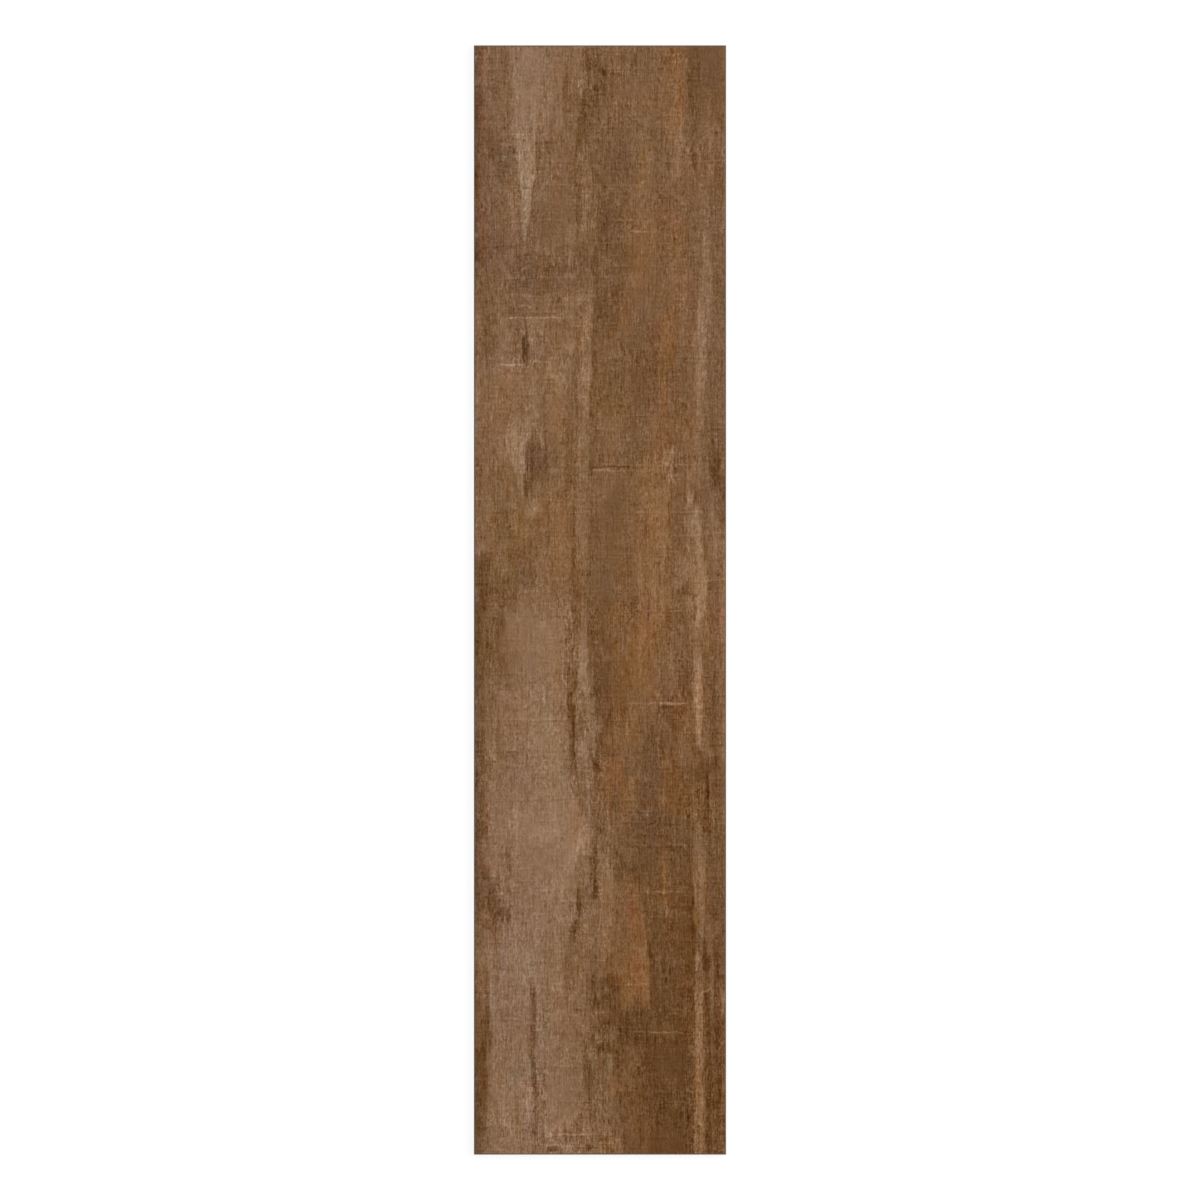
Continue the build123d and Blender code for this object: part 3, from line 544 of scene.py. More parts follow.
STRANDS = [
    # Top of the plank
    (-18, 1.0, (8, 93), (26, 91.5), (42, 91)), (-20, 0.8, (16, 100), (30, 99)),
    (-30, 0.9, (17, 103), (27, 103)), (-26, 0.8, (7, 128), (21, 128.5)),
    (-16, 0.9, (22, 170.5), (62, 171)), (-14, 0.9, (66, 174.5), (100, 174)),
    (-18, 0.9, (42, 163), (66, 163)), (12, 0.9, (22, 69), (66, 70)),
    (-14, 1.0, (78, 51.5), (108, 51)), (-12, 0.9, (109, 48), (126, 46.4), (148, 44.6)),
    (20, 1.1, (40, 175), (62, 175.5)), (-14, 0.9, (22, 71.5), (66, 72)),
    (14, 0.9, (70, 48), (110, 48.5)), (-12, 0.9, (70, 50.5), (110, 50.5)),
    (18, 1.0, (100, 43), (134, 42)), (-22, 0.8, (160, 36), (182, 37)),
    (20, 0.9, (144, 29), (164, 31)), (18, 0.7, (170, 33), (184, 33.5)),
    (-20, 0.7, (136, 48.3), (147, 48.3)), (-22, 1.0, (50, 83.5), (92, 81)),
    (14, 0.8, (108, 93.5), (124, 93.5)), (-18, 0.9, (126, 93), (144, 93.5)),
    (-12, 0.8, (130, 98), (225, 97.5)), (12, 0.9, (140, 183), (190, 183.5)),
    (-14, 0.7, (128, 116), (146, 115)), (-16, 0.7, (172, 117), (186, 117)),
    (20, 0.9, (120, 165), (146, 165)), (16, 1.2, (150, 175), (182, 176)),
    (20, 0.6, (38, 12), (48, 13)), (-14, 0.8, (60, 5), (98, 5.5)), (20, 1.2, (70, 27), (92, 27)),
    (16, 0.9, (76, 179), (96, 177.5)),
    # From the knot to the second wedge
    (-18, 0.9, (228, 36.5), (246, 37)), (18, 1.0, (224, 40.5), (240, 40.5)),
    (22, 1.0, (246, 41.5), (262, 42)), (28, 0.6, (248, 61), (262, 59)),
    (36, 0.7, (290, 12), (298, 13)), (12, 0.9, (248, 94), (280, 94)),
    (-12, 0.8, (232, 81.5), (302, 81.5)), (26, 1.6, (304, 43.5), (322, 44.5), (342, 43)),
    (-16, 0.9, (302, 38), (318, 38.5)), (-14, 0.8, (336, 36), (360, 37.5)),
    (20, 0.9, (336, 53.5), (362, 52)), (24, 0.7, (318, 157), (331, 156.5)),
    (20, 0.8, (334, 157), (347, 154)), (14, 0.9, (316, 169.5), (340, 169)),
    (-20, 1.0, (316, 185), (334, 188), (348, 190)), (18, 1.0, (330, 191.5), (346, 192)),
    (-18, 0.8, (324, 177), (342, 177)), (-16, 0.8, (226, 10), (246, 10.5)),
    (-14, 0.8, (240, 160), (268, 160)), (-14, 1.0, (246, 182), (276, 182)),
    (22, 0.7, (364, 81.5), (379, 83)), (-20, 0.7, (364, 79.5), (402, 79.8)),
    (-20, 0.7, (410, 80.5), (434, 80.5)), (22, 0.7, (402, 68.5), (416, 68.8)),
    (-24, 0.9, (400, 90.5), (420, 90.5)), (-26, 1.3, (360, 177.5), (374, 178)),
    (14, 0.8, (376, 172), (400, 174)), (22, 1.2, (416, 175), (438, 177)),
    (-12, 0.8, (380, 183), (440, 183.5)), (-34, 1.1, (442, 127), (460, 126.5)),
    (-18, 1.0, (455, 139), (480, 138)), (14, 0.9, (396, 60), (430, 60.5)),
    # The long crack, the dark streaks beside it and the pale stripe on the right
    (-28, 1.0, (510, 77), (530, 78.3), (556, 78.8), (568, 80.4), (584, 82)),
    (-18, 0.9, (584, 82), (604, 85)), (-20, 0.8, (554, 93), (576, 94.5)),
    (-40, 1.4, (567, 94.5), (573, 96)), (-20, 1.1, (600, 97), (618, 98.5), (636, 100)),
    (-26, 1.3, (646, 97), (664, 96.6), (678, 95)), (-12, 0.8, (464, 90.5), (492, 90.5)),
    (16, 0.9, (472, 86), (498, 84.5)), (-22, 0.9, (496, 87.5), (514, 89.5)),
    (-20, 1.0, (512, 95), (530, 95.5)), (-24, 1.3, (530, 97), (554, 95.5)),
    (-22, 1.2, (574, 86), (598, 88)), (16, 1.0, (486, 178), (544, 177.5)),
    (-26, 0.9, (572, 181.5), (612, 187)), (-20, 0.8, (575, 184), (600, 186.5)),
    (18, 0.7, (594, 188), (616, 190)), (-34, 1.4, (563, 191.5), (574, 192)),
    (14, 0.9, (500, 187), (526, 187.5)), (12, 0.8, (598, 178), (622, 178.5)),
    (-22, 0.8, (616, 27.5), (656, 28.3), (674, 27)), (-14, 0.8, (440, 45), (452, 46)),
    (-14, 0.8, (574, 149), (606, 148)), (-14, 0.7, (600, 182), (650, 184)),
    (-16, 0.7, (520, 153), (536, 154)), (-26, 1.2, (606, 11.5), (636, 12)),
    (-16, 0.8, (655, 11), (700, 12)), (14, 0.9, (456, 16), (500, 16)),
    (-16, 0.8, (482, 12), (498, 12)), (20, 1.2, (574, 79), (602, 80.5)),
    (14, 0.8, (576, 174), (606, 176), (634, 177)), (-12, 0.8, (576, 176.5), (630, 179)),
    (12, 0.7, (578, 151), (612, 150)),
    # Foot of the plank
    (-28, 1.3, (746, 47.3), (770, 45.8), (792, 45.6), (808, 46.4), (830, 49.2)),
    (-24, 1.1, (828, 49), (852, 49.4), (878, 48)), (-18, 0.9, (766, 11.5), (798, 12.5)),
    (-26, 1.2, (664, 83), (696, 83.6)), (-24, 1.0, (690, 81), (700, 79.7), (714, 79)),
    (10, 1.0, (700, 82), (718, 82)), (-26, 1.0, (736, 93), (756, 96.5), (768, 99), (778, 100)),
    (-16, 0.9, (764, 88), (784, 90)), (-16, 0.8, (640, 174.5), (760, 174.5)),
    (-14, 0.9, (760, 175), (876, 174)), (12, 0.9, (745, 180), (800, 182), (876, 183)),
    (-16, 0.9, (748, 186), (876, 187)), (-30, 1.4, (714, 183), (740, 183.5)),
    (-34, 1.4, (720, 192), (740, 193.5)),
    (-20, 0.9, (674, 135.3), (700, 137), (720, 139.5), (766, 141)),
    (12, 0.9, (678, 132.8), (700, 134.6), (720, 137), (766, 138.8)),
    (-18, 1.0, (656, 154), (694, 153)), (20, 0.6, (700, 24), (712, 22)),
    (-18, 0.8, (820, 93), (845, 91)), (20, 0.7, (804, 108), (818, 107)),
    (-12, 0.9, (852, 80), (866, 84), (876, 88)), (18, 0.7, (850, 70), (860, 68), (872, 70)),
    (16, 1.1, (700, 186.5), (724, 187)), (-14, 0.8, (800, 195.5), (878, 196)),
    (14, 0.9, (820, 191.5), (868, 192)), (16, 1.1, (736, 30), (756, 31)),
    (14, 1.0, (744, 50), (764, 52)), (-20, 1.0, (800, 179), (822, 179)),
    (-18, 1.1, (772, 116), (790, 116)), (-12, 0.9, (688, 118), (706, 117)),
]

# Ribbons again: how warm the figure is or, below zero, how cool

WARMTHS = [
    # Cool stretches
    (-7, 8, 12, (84, 14, 26), (116, 18, 26)),
    (-6, 8, 14, (166, 28, 50), (206, 30, 44)),
    (-9, 4, 8, (226, 38, 44), (250, 39, 46)),
    (-7, 6, 8, (316, 40, 60), (350, 40, 52)),
    (-5, 10, 12, (408, 92, 114), (436, 92, 112)),
    (-6, 6, 12, (404, -5, 10), (460, -5, 8)),
    (-4, 8, 20, (474, 40, 54), (524, 42, 52)),
    (-5, 6, 12, (496, 90, 102), (518, 92, 104)),
    (-7, 6, 12, (566, 132, 150), (596, 132, 148)),
    (-8, 8, 8, (606, 121, 149), (622, 121, 148)),
    (-4, 8, 12, (620, 120, 148), (656, 120, 146)),
    (-7, 6, 8, (658, 2, 16), (676, 4, 18)),
    (-8, 6, 8, (678, 16, 28), (694, 18, 28)),
    (-5, 8, 8, (778, 113, 128), (792, 114, 128)),
    (-5, 12, 14, (802, 20, 64), (828, 22, 60)),
    (-7, 6, 12, (852, -5, 12), (900, -5, 10)),
    # Warm stretches of the upper right
    (3, 10, 20, (-10, 148, 168), (80, 150, 168)),
    (7, 4, 20, (-10, 157, 167), (40, 157, 168), (74, 155, 165)),
    (5, 5, 14, (80, 130, 139), (122, 130, 139)),
    (4, 8, 20, (128, 118, 146), (200, 122, 142)),
    (5, 5, 14, (136, 127, 140), (184, 126, 136)),
    (3, 6, 20, (136, 154, 170), (206, 154, 168)),
    (7, 4, 8, (206, 117, 124), (226, 116, 121)),
    (8, 4, 14, (212, 149, 159), (256, 149, 159)),
    (5, 4, 14, (256, 147, 154), (300, 147, 154)),
    # Warm stretches of the middle
    (2, 8, 20, (262, 6, 30), (304, 6, 30)),
    (4, 8, 20, (290, 140, 160), (352, 135, 158), (410, 130, 156)),
    (7, 6, 12, (366, 140, 151), (394, 140, 151)),
    (4, 10, 20, (400, 126, 156), (470, 128, 156)),
    (8, 6, 12, (456, 124, 146), (486, 118, 142), (512, 112, 140)),
    (4, 8, 14, (510, 110, 136), (560, 102, 126)),
    (9, 4, 8, (566, 100, 120), (590, 100, 114)),
    (5, 6, 10, (582, 100, 112), (612, 100, 110)),
    (6, 5, 12, (580, 116, 132), (616, 114, 124)),
    (4, 6, 14, (524, 154, 175), (550, 154, 178)),
    (4, 6, 10, (556, 150, 165), (590, 150, 166)),
    (5, 6, 8, (584, 149, 182), (612, 149, 180)),
    (4, 3, 10, (636, 148, 154), (682, 149, 154)),
    # The orange patch
    (3, 8, 14, (656, 100, 120), (742, 100, 120)),
    (6, 6, 10, (660, 118, 136), (712, 116, 137)),
    (12, 4, 8, (680, 122, 133), (704, 124, 136), (716, 126, 137)),
    (10, 4, 8, (708, 118, 139), (764, 116, 139)),
    (14, 4, 8, (722, 127, 138), (752, 126, 138)),
    # The pale stripe and the right edge
    (3, 4, 12, (408, 176, 185), (452, 176, 184)),
    (8, 4, 12, (498, 174, 184), (546, 175, 183)),
    (4, 4, 14, (646, 174, 185), (696, 174, 185)),
    (5, 4, 14, (752, 175, 184), (900, 175, 182)),
    (10, 3, 8, (818, 174, 180), (838, 175, 181)),
    (5, 2, 20, (380, 196, 202), (560, 196, 202)),
    (6, 2, 20, (600, 196, 202), (900, 196, 202)),
    (4, 4, 14, (0, 197, 202), (380, 197, 202)),
    (3, 8, 10, (864, 100, 118), (900, 100, 118)),
]

# Tints: dabs that warm or cool the figure under them

TINTS = [
    # The cool left edge, and the warmer middle of the plank
    (-10, 0, 440, 4.2, 2000), (2, 95, 385, 105, 165), (-5, 131, 763, 8, 4),
    # Top of the plank
    (2, 74, 27, 14, 22), (2, 114, 35, 9, 32), (3, 112, 14, 5, 12), (2, 108, 46, 4, 5),
    (2, 141, 20, 8, 16), (4, 140, 43, 8, 10), (2, 138, 75, 5, 16), (2, 155, 58, 8, 6),
    (3, 186, 60, 6, 14), (2.5, 175, 100, 20, 20), (2, 65, 72, 5, 14), (3, 88, 114, 6, 16),
    (2, 130, 115, 22, 8), (3.5, 152, 136, 8, 12), (2, 146, 160, 8, 14), (2.5, 146, 190, 5, 20),
    (2.5, 172, 205, 12, 30), (3, 82, 202, 12, 7), (3, 85, 222, 12, 10), (2, 60, 222, 18, 8),
    (2, 118, 200, 12, 8), (-2, 13, 90, 9, 78), (-2.5, 40, 15, 20, 12), (-2.5, 50, 125, 8, 16),
    (-2, 42, 150, 13, 10), (-2.5, 50, 183, 32, 13), (-4, 7, 172, 6, 14), (-2, 112, 86, 14, 14),
    (-2, 110, 135, 12, 18), (-2, 169, 65, 4, 8), (-2, 150, 80, 5, 6), (-2, 182, 145, 6, 14),
    (-2.5, 188, 18, 10, 14),
    # From the knot to the middle of the plank
    (4, 88, 231, 6, 9), (2, 76, 240, 14, 9), (2, 45, 262, 18, 12), (4, 67, 280, 6, 28),
    (2, 68, 300, 11, 13), (2, 92, 270, 12, 9), (2, 112, 290, 12, 16), (2.5, 146, 240, 4, 30),
    (3, 165, 230, 8, 14), (2, 172, 280, 8, 50), (4, 168, 305, 8, 11), (2, 82, 328, 4, 14),
    (2, 28, 332, 6, 22), (2, 106, 320, 8, 6), (-2, 133, 305, 12, 18), (-2, 133, 280, 4, 12),
    (-2, 50, 332, 12, 14), (2, 135, 345, 10, 14), (2.5, 130, 372, 6, 20), (4, 65, 376, 13, 30),
    (4, 37, 380, 8, 14), (2, 60, 402, 34, 38), (2.5, 70, 415, 8, 14), (2, 15, 390, 8, 26),
    (-2, 110, 368, 6, 14), (2, 170, 350, 4, 12), (-3, 190, 358, 8, 20), (-2, 192, 290, 6, 45),
    (-3, 40, 420, 8, 10), (-2, 105, 426, 8, 6), (2, 172, 400, 12, 26), (2, 118, 430, 6, 24),
    (-2, 9, 252, 10, 24), (-2, 41, 240, 8, 12),
    # From the middle of the plank to the orange patch
    (4, 116, 450, 6, 9), (2, 113, 462, 9, 20), (4, 114, 484, 5, 10), (2, 15, 476, 8, 8),
    (2, 31, 480, 10, 15), (2, 63, 478, 6, 14), (2, 65, 505, 6, 10), (4, 184, 470, 12, 26),
    (2, 155, 468, 28, 34), (4, 142, 515, 7, 15), (2, 138, 535, 6, 8), (2, 160, 515, 16, 10),
    (-2, 126, 460, 4, 8), (-2, 164, 465, 5, 14), (-2, 46, 525, 7, 20), (-2, 98, 512, 14, 24),
    (-4, 107, 535, 5, 8), (2, 63, 554, 7, 9), (2.5, 180, 555, 13, 12), (3, 181, 560, 9, 6),
    (2, 128, 572, 9, 6), (-2.5, 101, 564, 5, 6), (-3.5, 103, 608, 5, 7), (-2, 134, 620, 7, 6),
    (3, 186, 602, 6, 20), (2, 179, 622, 8, 10), (3.5, 80, 620, 8, 28), (2, 112, 635, 8, 14),
    (2, 75, 670, 10, 14), (3.5, 151, 670, 11, 16),
    # Foot of the plank
    (-2, 117, 660, 16, 6), (-2, 130, 685, 6, 14), (-3.5, 120, 710, 5, 14), (-2, 138, 722, 3, 20),
    (-2, 125, 762, 8, 4), (-2, 25, 672, 9, 7), (-2.5, 38, 712, 14, 30), (-2, 50, 745, 6, 48),
    (-2, 16, 768, 12, 12), (2, 75, 760, 14, 50), (2.5, 88, 705, 6, 16), (3, 104, 712, 3, 9),
    (2, 166, 700, 24, 30), (2, 178, 725, 6, 8), (3.5, 166, 745, 10, 7), (3, 180, 745, 7, 9),
    (2.5, 166, 780, 22, 10), (4, 110, 828, 8, 10), (3, 115, 796, 6, 6), (2, 128, 842, 4, 10),
    (-2.5, 38, 815, 15, 9), (-2, 45, 852, 6, 16), (4, 189, 826, 5, 14), (3, 184, 843, 5, 8),
    (2, 182, 811, 8, 4), (2, 185, 862, 10, 14), (2, 85, 860, 24, 16), (2, 120, 815, 16, 22),
    (2, 135, 862, 14, 12),
    # The right edge, cool over most of its length, and the left one, warm here and there
    (-9, 201, 225, 4.5, 165), (-9, 201, 700, 4.5, 110), (4, 199, 448, 4, 32), (8, 1, 240, 4, 55),
    (6, 1, 380, 4, 68), (6, 2, 755, 4, 45), (4, 6, 732, 3, 12), (4, 2, 110, 4, 20),
    # Smaller ones, top of the plank
    (-6, 29, 90, 4, 15), (-3, 140, 184, 5, 10), (-2.5, 18, 160, 10, 20), (-2.5, 88, 172, 14, 8),
    (-3, 107, 212, 8, 8), (3, 192, 45, 3, 13), (2.5, 135, 50, 4, 16), (-3, 182, 28, 3, 8),
    (-3, 42, 62, 6, 11), (-2.5, 40, 28, 6, 8), (2.5, 92, 100, 3, 18), (-2.5, 52, 90, 3, 14),
    (2.5, 70, 207, 6, 8), (3, 149, 270, 4, 13), (-2.5, 95, 272, 5, 8), (2.5, 158, 92, 4, 10),
    (-2.5, 51, 197, 5, 8),
    # Smaller ones, middle of the plank
    (-5, 60, 388, 6, 18), (-2.5, 45, 415, 10, 22), (-3, 108, 428, 8, 14), (-4, 116, 443, 4, 8),
    (-3, 44, 457, 5, 8), (-3.5, 123, 321, 5, 8), (-2.5, 116, 355, 5, 12), (2.5, 127, 380, 6, 12),
    (3.5, 174, 430, 6, 18), (-3, 96, 487, 4, 8), (-2.5, 124, 495, 4, 10), (-2.5, 125, 520, 6, 10),
    (2.5, 32, 530, 14, 24), (4, 173, 572, 6, 12), (3, 178, 492, 4, 8), (2.5, 30, 350, 5, 12),
    (-2.5, 105, 560, 6, 20), (-2.5, 32, 575, 8, 16), (-3, 153, 393, 3, 10),
    # Smaller ones, foot of the plank
    (-3.5, 23, 730, 6, 20), (3.5, 172, 860, 4, 16), (3, 172, 775, 4, 30), (3.5, 186, 805, 3, 14),
    (4, 196, 830, 3, 10), (-3, 162, 778, 4, 10), (3, 104, 770, 5, 15), (3, 152, 632, 6, 12),
    (-3, 127, 658, 3, 10), (-3, 113, 665, 4, 10), (-3, 141, 628, 5, 8), (-4, 93, 817, 4, 13),
    (3, 88, 624, 6, 8), (-2.5, 56, 775, 5, 20), (-2.5, 152, 806, 8, 6),
]

# Casts: dabs that turn the figure greener or, below zero, pinker

CASTS = [
    # Top of the plank
    (-2.0, 7, 30, 9, 32), (2.4, 36, 33, 6, 9), (1.6, 44, 98, 13, 40), (-2.0, 18, 158, 18, 20),
    (-1.6, 5, 124, 9, 26), (-1.3, 74, 93, 5, 20), (1.8, 87, 93, 3, 20), (2.0, 134, 98, 3, 20),
    (-2.8, 165, 47, 4, 10), (-1.0, 181, 93, 18, 20), (-1.8, 130, 149, 6, 10),
    (-1.8, 158, 137, 6, 10), (1.2, 81, 154, 18, 14), (-1.3, 74, 181, 12, 14),
    (1.1, 183, 163, 8, 12), (2.0, 194, 200, 4, 15), (-1.1, 165, 191, 10, 22), (-1.2, 110, 60, 9, 9),
    (-0.9, 154, 90, 5, 14),
    # From the knot to the second wedge
    (1.3, 11, 181, 6, 10), (1.0, 18, 214, 12, 18), (-1.7, 144, 228, 6, 12), (-1.2, 123, 214, 8, 10),
    (-1.8, 27, 258, 5, 10), (-3.6, 158, 272, 3, 13), (1.0, 65, 265, 10, 20),
    (1.0, 109, 279, 16, 22), (-2.0, 148, 307, 5, 28), (2.0, 89, 326, 6, 20),
    (-1.3, 18, 302, 12, 10), (-1.4, 46, 333, 12, 10), (-1.8, 5, 349, 5, 10), (1.0, 32, 372, 30, 34),
    (-1.6, 5, 395, 5, 10), (2.8, 28, 416, 12, 8), (1.4, 93, 435, 8, 12), (-3.4, 195, 458, 7, 18),
    (1.4, 181, 419, 5, 22), (-2.4, 139, 463, 4, 26), (1.6, 148, 477, 5, 8),
    # The long crack and the dark streaks beside it
    (1.4, 8, 479, 8, 14), (-1.0, 23, 512, 20, 12), (1.4, 88, 521, 9, 20), (1.7, 58, 540, 8, 22),
    (1.3, 62, 582, 12, 30), (-1.0, 162, 516, 24, 24), (-1.8, 111, 572, 6, 14),
    (1.1, 137, 563, 7, 24), (-1.4, 12, 614, 9, 16), (-2.0, 5, 642, 6, 12), (1.0, 116, 642, 20, 28),
    (0.8, 176, 628, 25, 26), (-0.8, 72, 520, 4, 30),
    # Foot of the plank
    (-1.4, 30, 693, 24, 22), (-3.2, 126, 690, 7, 16), (-2.0, 121, 676, 5, 8),
    (-3.2, 130, 733, 5, 14), (1.6, 146, 702, 8, 14), (1.6, 79, 705, 6, 10), (1.8, 46, 730, 10, 12),
    (-1.8, 34, 768, 20, 18), (-1.0, 79, 768, 10, 24), (1.4, 60, 768, 5, 18),
    (0.8, 148, 777, 30, 20), (-1.8, 197, 770, 5, 24), (1.7, 32, 814, 16, 10),
    (1.3, 102, 805, 22, 18), (-1.5, 44, 842, 8, 22), (1.6, 11, 851, 10, 18), (1.1, 56, 842, 5, 18),
    (-1.1, 81, 865, 16, 14), (0.9, 158, 842, 14, 10), (-1.1, 174, 823, 6, 16),
    (1.2, 188, 845, 10, 25), (1.6, 138, 710, 1.5, 30),
]

# Ribbons again: where the grain is rougher or, below zero, calmer than elsewhere

FLECKS = [
    (-40, 12, 20, (-10, 176, 215), (58, 178, 215)),
    (-30, 12, 20, (156, 118, 150), (218, 118, 148)),
    (-25, 8, 14, (5, 34, 54), (50, 34, 54)),
    (30, 10, 14, (-10, 78, 102), (52, 82, 100)),
    (20, 10, 12, (60, 20, 40), (94, 22, 42)),
    (30, 10, 14, (96, 28, 56), (142, 28, 50)),
    (15, 10, 20, (142, 28, 50), (190, 26, 46)),
    (12, 8, 20, (62, 82, 98), (146, 82, 96)),
    (35, 8, 8, (76, 166, 190), (94, 168, 186)),
    (-25, 10, 14, (112, 54, 76), (150, 54, 76)),
    (25, 8, 10, (224, 30, 54), (256, 30, 54)),
    (15, 8, 14, (212, 78, 98), (300, 78, 96)),
    (20, 10, 10, (306, 34, 58), (344, 32, 50)),
    (35, 8, 8, (322, 146, 162), (346, 146, 162)),
    (-40, 12, 20, (345, 98, 122), (446, 96, 116)),
    (12, 8, 14, (350, 78, 94), (420, 80, 96)),
    (-40, 12, 14, (446, 22, 64), (502, 24, 62)),
    (30, 8, 8, (440, 112, 130), (456, 112, 130)),
    (-25, 12, 14, (476, 98, 142), (520, 98, 142)),
    (35, 8, 14, (446, 68, 100), (520, 70, 98)),
    (-30, 4, 12, (452, 84, 92), (508, 84, 95)),
    (25, 8, 14, (516, 68, 102), (592, 72, 104)),
    (25, 8, 14, (494, 172, 192), (544, 172, 192)),
    (25, 8, 8, (514, 142, 168), (532, 142, 168)),
    (20, 8, 10, (556, -5, 20), (628, -5, 14)),
    (30, 8, 10, (584, 168, 194), (622, 168, 194)),
    (25, 10, 14, (588, 84, 106), (644, 84, 106)),
    (45, 8, 10, (640, 86, 104), (678, 84, 102)),
    (40, 8, 8, (678, 72, 92), (706, 72, 90)),
    (-30, 12, 14, (598, 38, 80), (664, 38, 80)),
    (25, 8, 10, (634, 18, 34), (712, 14, 34)),
    (40, 8, 8, (718, 176, 196), (738, 178, 194)),
    (35, 8, 14, (738, 166, 190), (900, 166, 190)),
    (20, 6, 14, (738, 188, 215), (900, 188, 215)),
    (30, 8, 14, (740, 38, 58), (864, 38, 58)),
    (35, 8, 8, (842, 12, 32), (862, 12, 32)),
    (30, 8, 10, (772, 84, 106), (802, 84, 104)),
    (-40, 10, 14, (790, 144, 168), (818, 146, 168)),
    (-30, 10, 14, (816, 58, 82), (850, 58, 80)),
    (30, 8, 8, (828, 82, 108), (900, 80, 108)),
    (45, 8, 8, (858, 52, 112), (900, 52, 112)),
    (-50, 10, 10, (862, 122, 164), (900, 122, 164)),
]

# Single fine marks across the grain: how light, how far down, and their two ends across

MARKS = [
    (12, 70.5, 22, 60), (12, 78.5, 20, 33), (-14, 77.5, 50, 66), (18, 148, 122, 139),
    (9, 197.5, 26, 36), (9, 197, 57, 68), (18, 207, 35, 49), (24, 216, 28, 69), (-12, 213, 46, 64),
    (28, 253, 22, 38), (14, 251, 47, 60), (-26, 334, 102, 121), (-14, 335, 94, 104),
    (24, 337, 95, 107), (10, 338, 107, 119), (16, 433, 39, 51), (-12, 435, 163, 174),
    (14, 448.5, 134, 142), (14, 448.5, 155, 168), (12, 522, 122, 150), (30, 522, 149, 168),
    (-18, 524.5, 149, 160), (-16, 561, 22, 34), (-16, 562.5, 98, 117), (-34, 570.5, 92, 98),
    (14, 634.5, 130, 140), (18, 634.5, 155, 168), (18, 671.5, 142, 166), (16, 745, 119, 138),
    (22, 783, 138, 166), (10, 782.5, 124, 138), (16, 864, 60, 90), (20, 872.5, 53, 69),
    (-20, 877, 57, 69), (-26, 875, 86, 98),
]


LATTICE = 512  # points each way in the table of a smooth noise


def lattice(u, v, size_across, size_along, seed):
    """Smooth noise from -1 to 1 over the face, in blobs of the given size."""
    values = np.random.default_rng(seed).uniform(-1, 1, (LATTICE, LATTICE))
    x, y = u / size_across + 37.0, v / size_along + 11.0
    column, row = np.floor(x).astype(int), np.floor(y).astype(int)
    fx, fy = smooth(x - column - 0.5), smooth(y - row - 0.5)
    left, right = column % LATTICE, (column + 1) % LATTICE
    above, below = row % LATTICE, (row + 1) % LATTICE
    top = values[above, left] * (1 - fx) + values[above, right] * fx
    foot = values[below, left] * (1 - fx) + values[below, right] * fx
    return top * (1 - fy) + foot * fy


def smooth(x):
    """A soft step from 0 at -0.5 to 1 at 0.5."""
    x = np.clip(x + 0.5, 0, 1)
    return x * x * (3 - 2 * x)


def painted(ribbons, u, v, start=0):
    """The ribbons laid over each other on the points (u, v), with wavering sides and ends."""
    side_wear = 0.5 * lattice(u, v, 3.5, 24, 3) + 0.5 * lattice(u, v, 2.6, 11, 4)
    end_wear = 0.6 * lattice(u, v, 2.6, 60, 5) + 0.6 * lattice(u, v, 6, 90, 6)
    field = np.full(len(u), float(start))
    for amount, soft, fade, *run in ribbons:
        down, left, right = np.array(run, float).T
        inside = smooth((u - np.interp(v, down, left)) / soft + 0.45 * side_wear)
        inside *= smooth((np.interp(v, down, right) - u) / soft - 0.45 * side_wear)
        inside *= smooth((v - down[0]) / fade + 0.5 * end_wear)
        inside *= smooth((down[-1] - v) / fade + 0.5 * end_wear)
        field += (amount - field) * inside
    return field


def dabbed(dabs, u, v):
    """The sum of soft dabs on the points (u, v), each with a wavering outline."""
    aside = u + 1.2 * lattice(u, v, 3.0, 14, 7)
    along = v + 4 * lattice(u, v, 3.0, 40, 8)
    field = np.zeros(len(u))
    for amount, middle, at, half_width, half_length in dabs:
        off = ((aside - middle) / half_width) ** 2 + ((along - at) / half_length) ** 2
        field += amount * np.exp(-off * off)
    return field


def stranded(strands, u, v):
    """Thin wavering lines of uneven strength on the points (u, v)."""
    fade = 8
    aside = u + 0.5 * lattice(u, v, 400, 9, 10)
    strength = 0.8 + 0.35 * lattice(u, v, 6, 8, 11)
    field = np.zeros(len(u))
    for amount, half_width, *run in strands:
        at, middle = np.array(run, float).T
        off = (aside - np.interp(v, at, middle)) / half_width
        ends = smooth((v - at[0]) / fade) * smooth((at[-1] - v) / fade)
        field += amount * np.exp(-0.7 * off * off) * ends * strength
    return field


# The sheet's points, as millimetres across and down the face

columns = np.linspace(FACE_BEVEL, WIDTH - FACE_BEVEL, CELLS_ACROSS + 1)
rows = np.linspace(FACE_BEVEL, LENGTH - FACE_BEVEL, CELLS_ALONG + 1)
across, down = (grid.ravel() for grid in np.meshgrid(columns, rows))

figure = painted(TONES, across, down) * TONE_STEP + dabbed(DABS, across, down) / LEVELS
tone = figure + stranded(STRANDS, across, down) / LEVELS
warmth = painted(WARMTHS, across, down, PLAIN_WARMTH) * WARMTH_STEP
warmth += dabbed(TINTS, across, down) / LEVELS
cast = dabbed(CASTS, across, down) / LEVELS
flecks = painted(FLECKS, across, down) / FLECK_LEVELS
lean_down, lean_across = np.gradient(figure.reshape(len(rows), len(columns)), rows, columns)
strokes = (down + SAW_WAVER * lattice(across, down, 80, 70, 20)) / SAW_STROKE


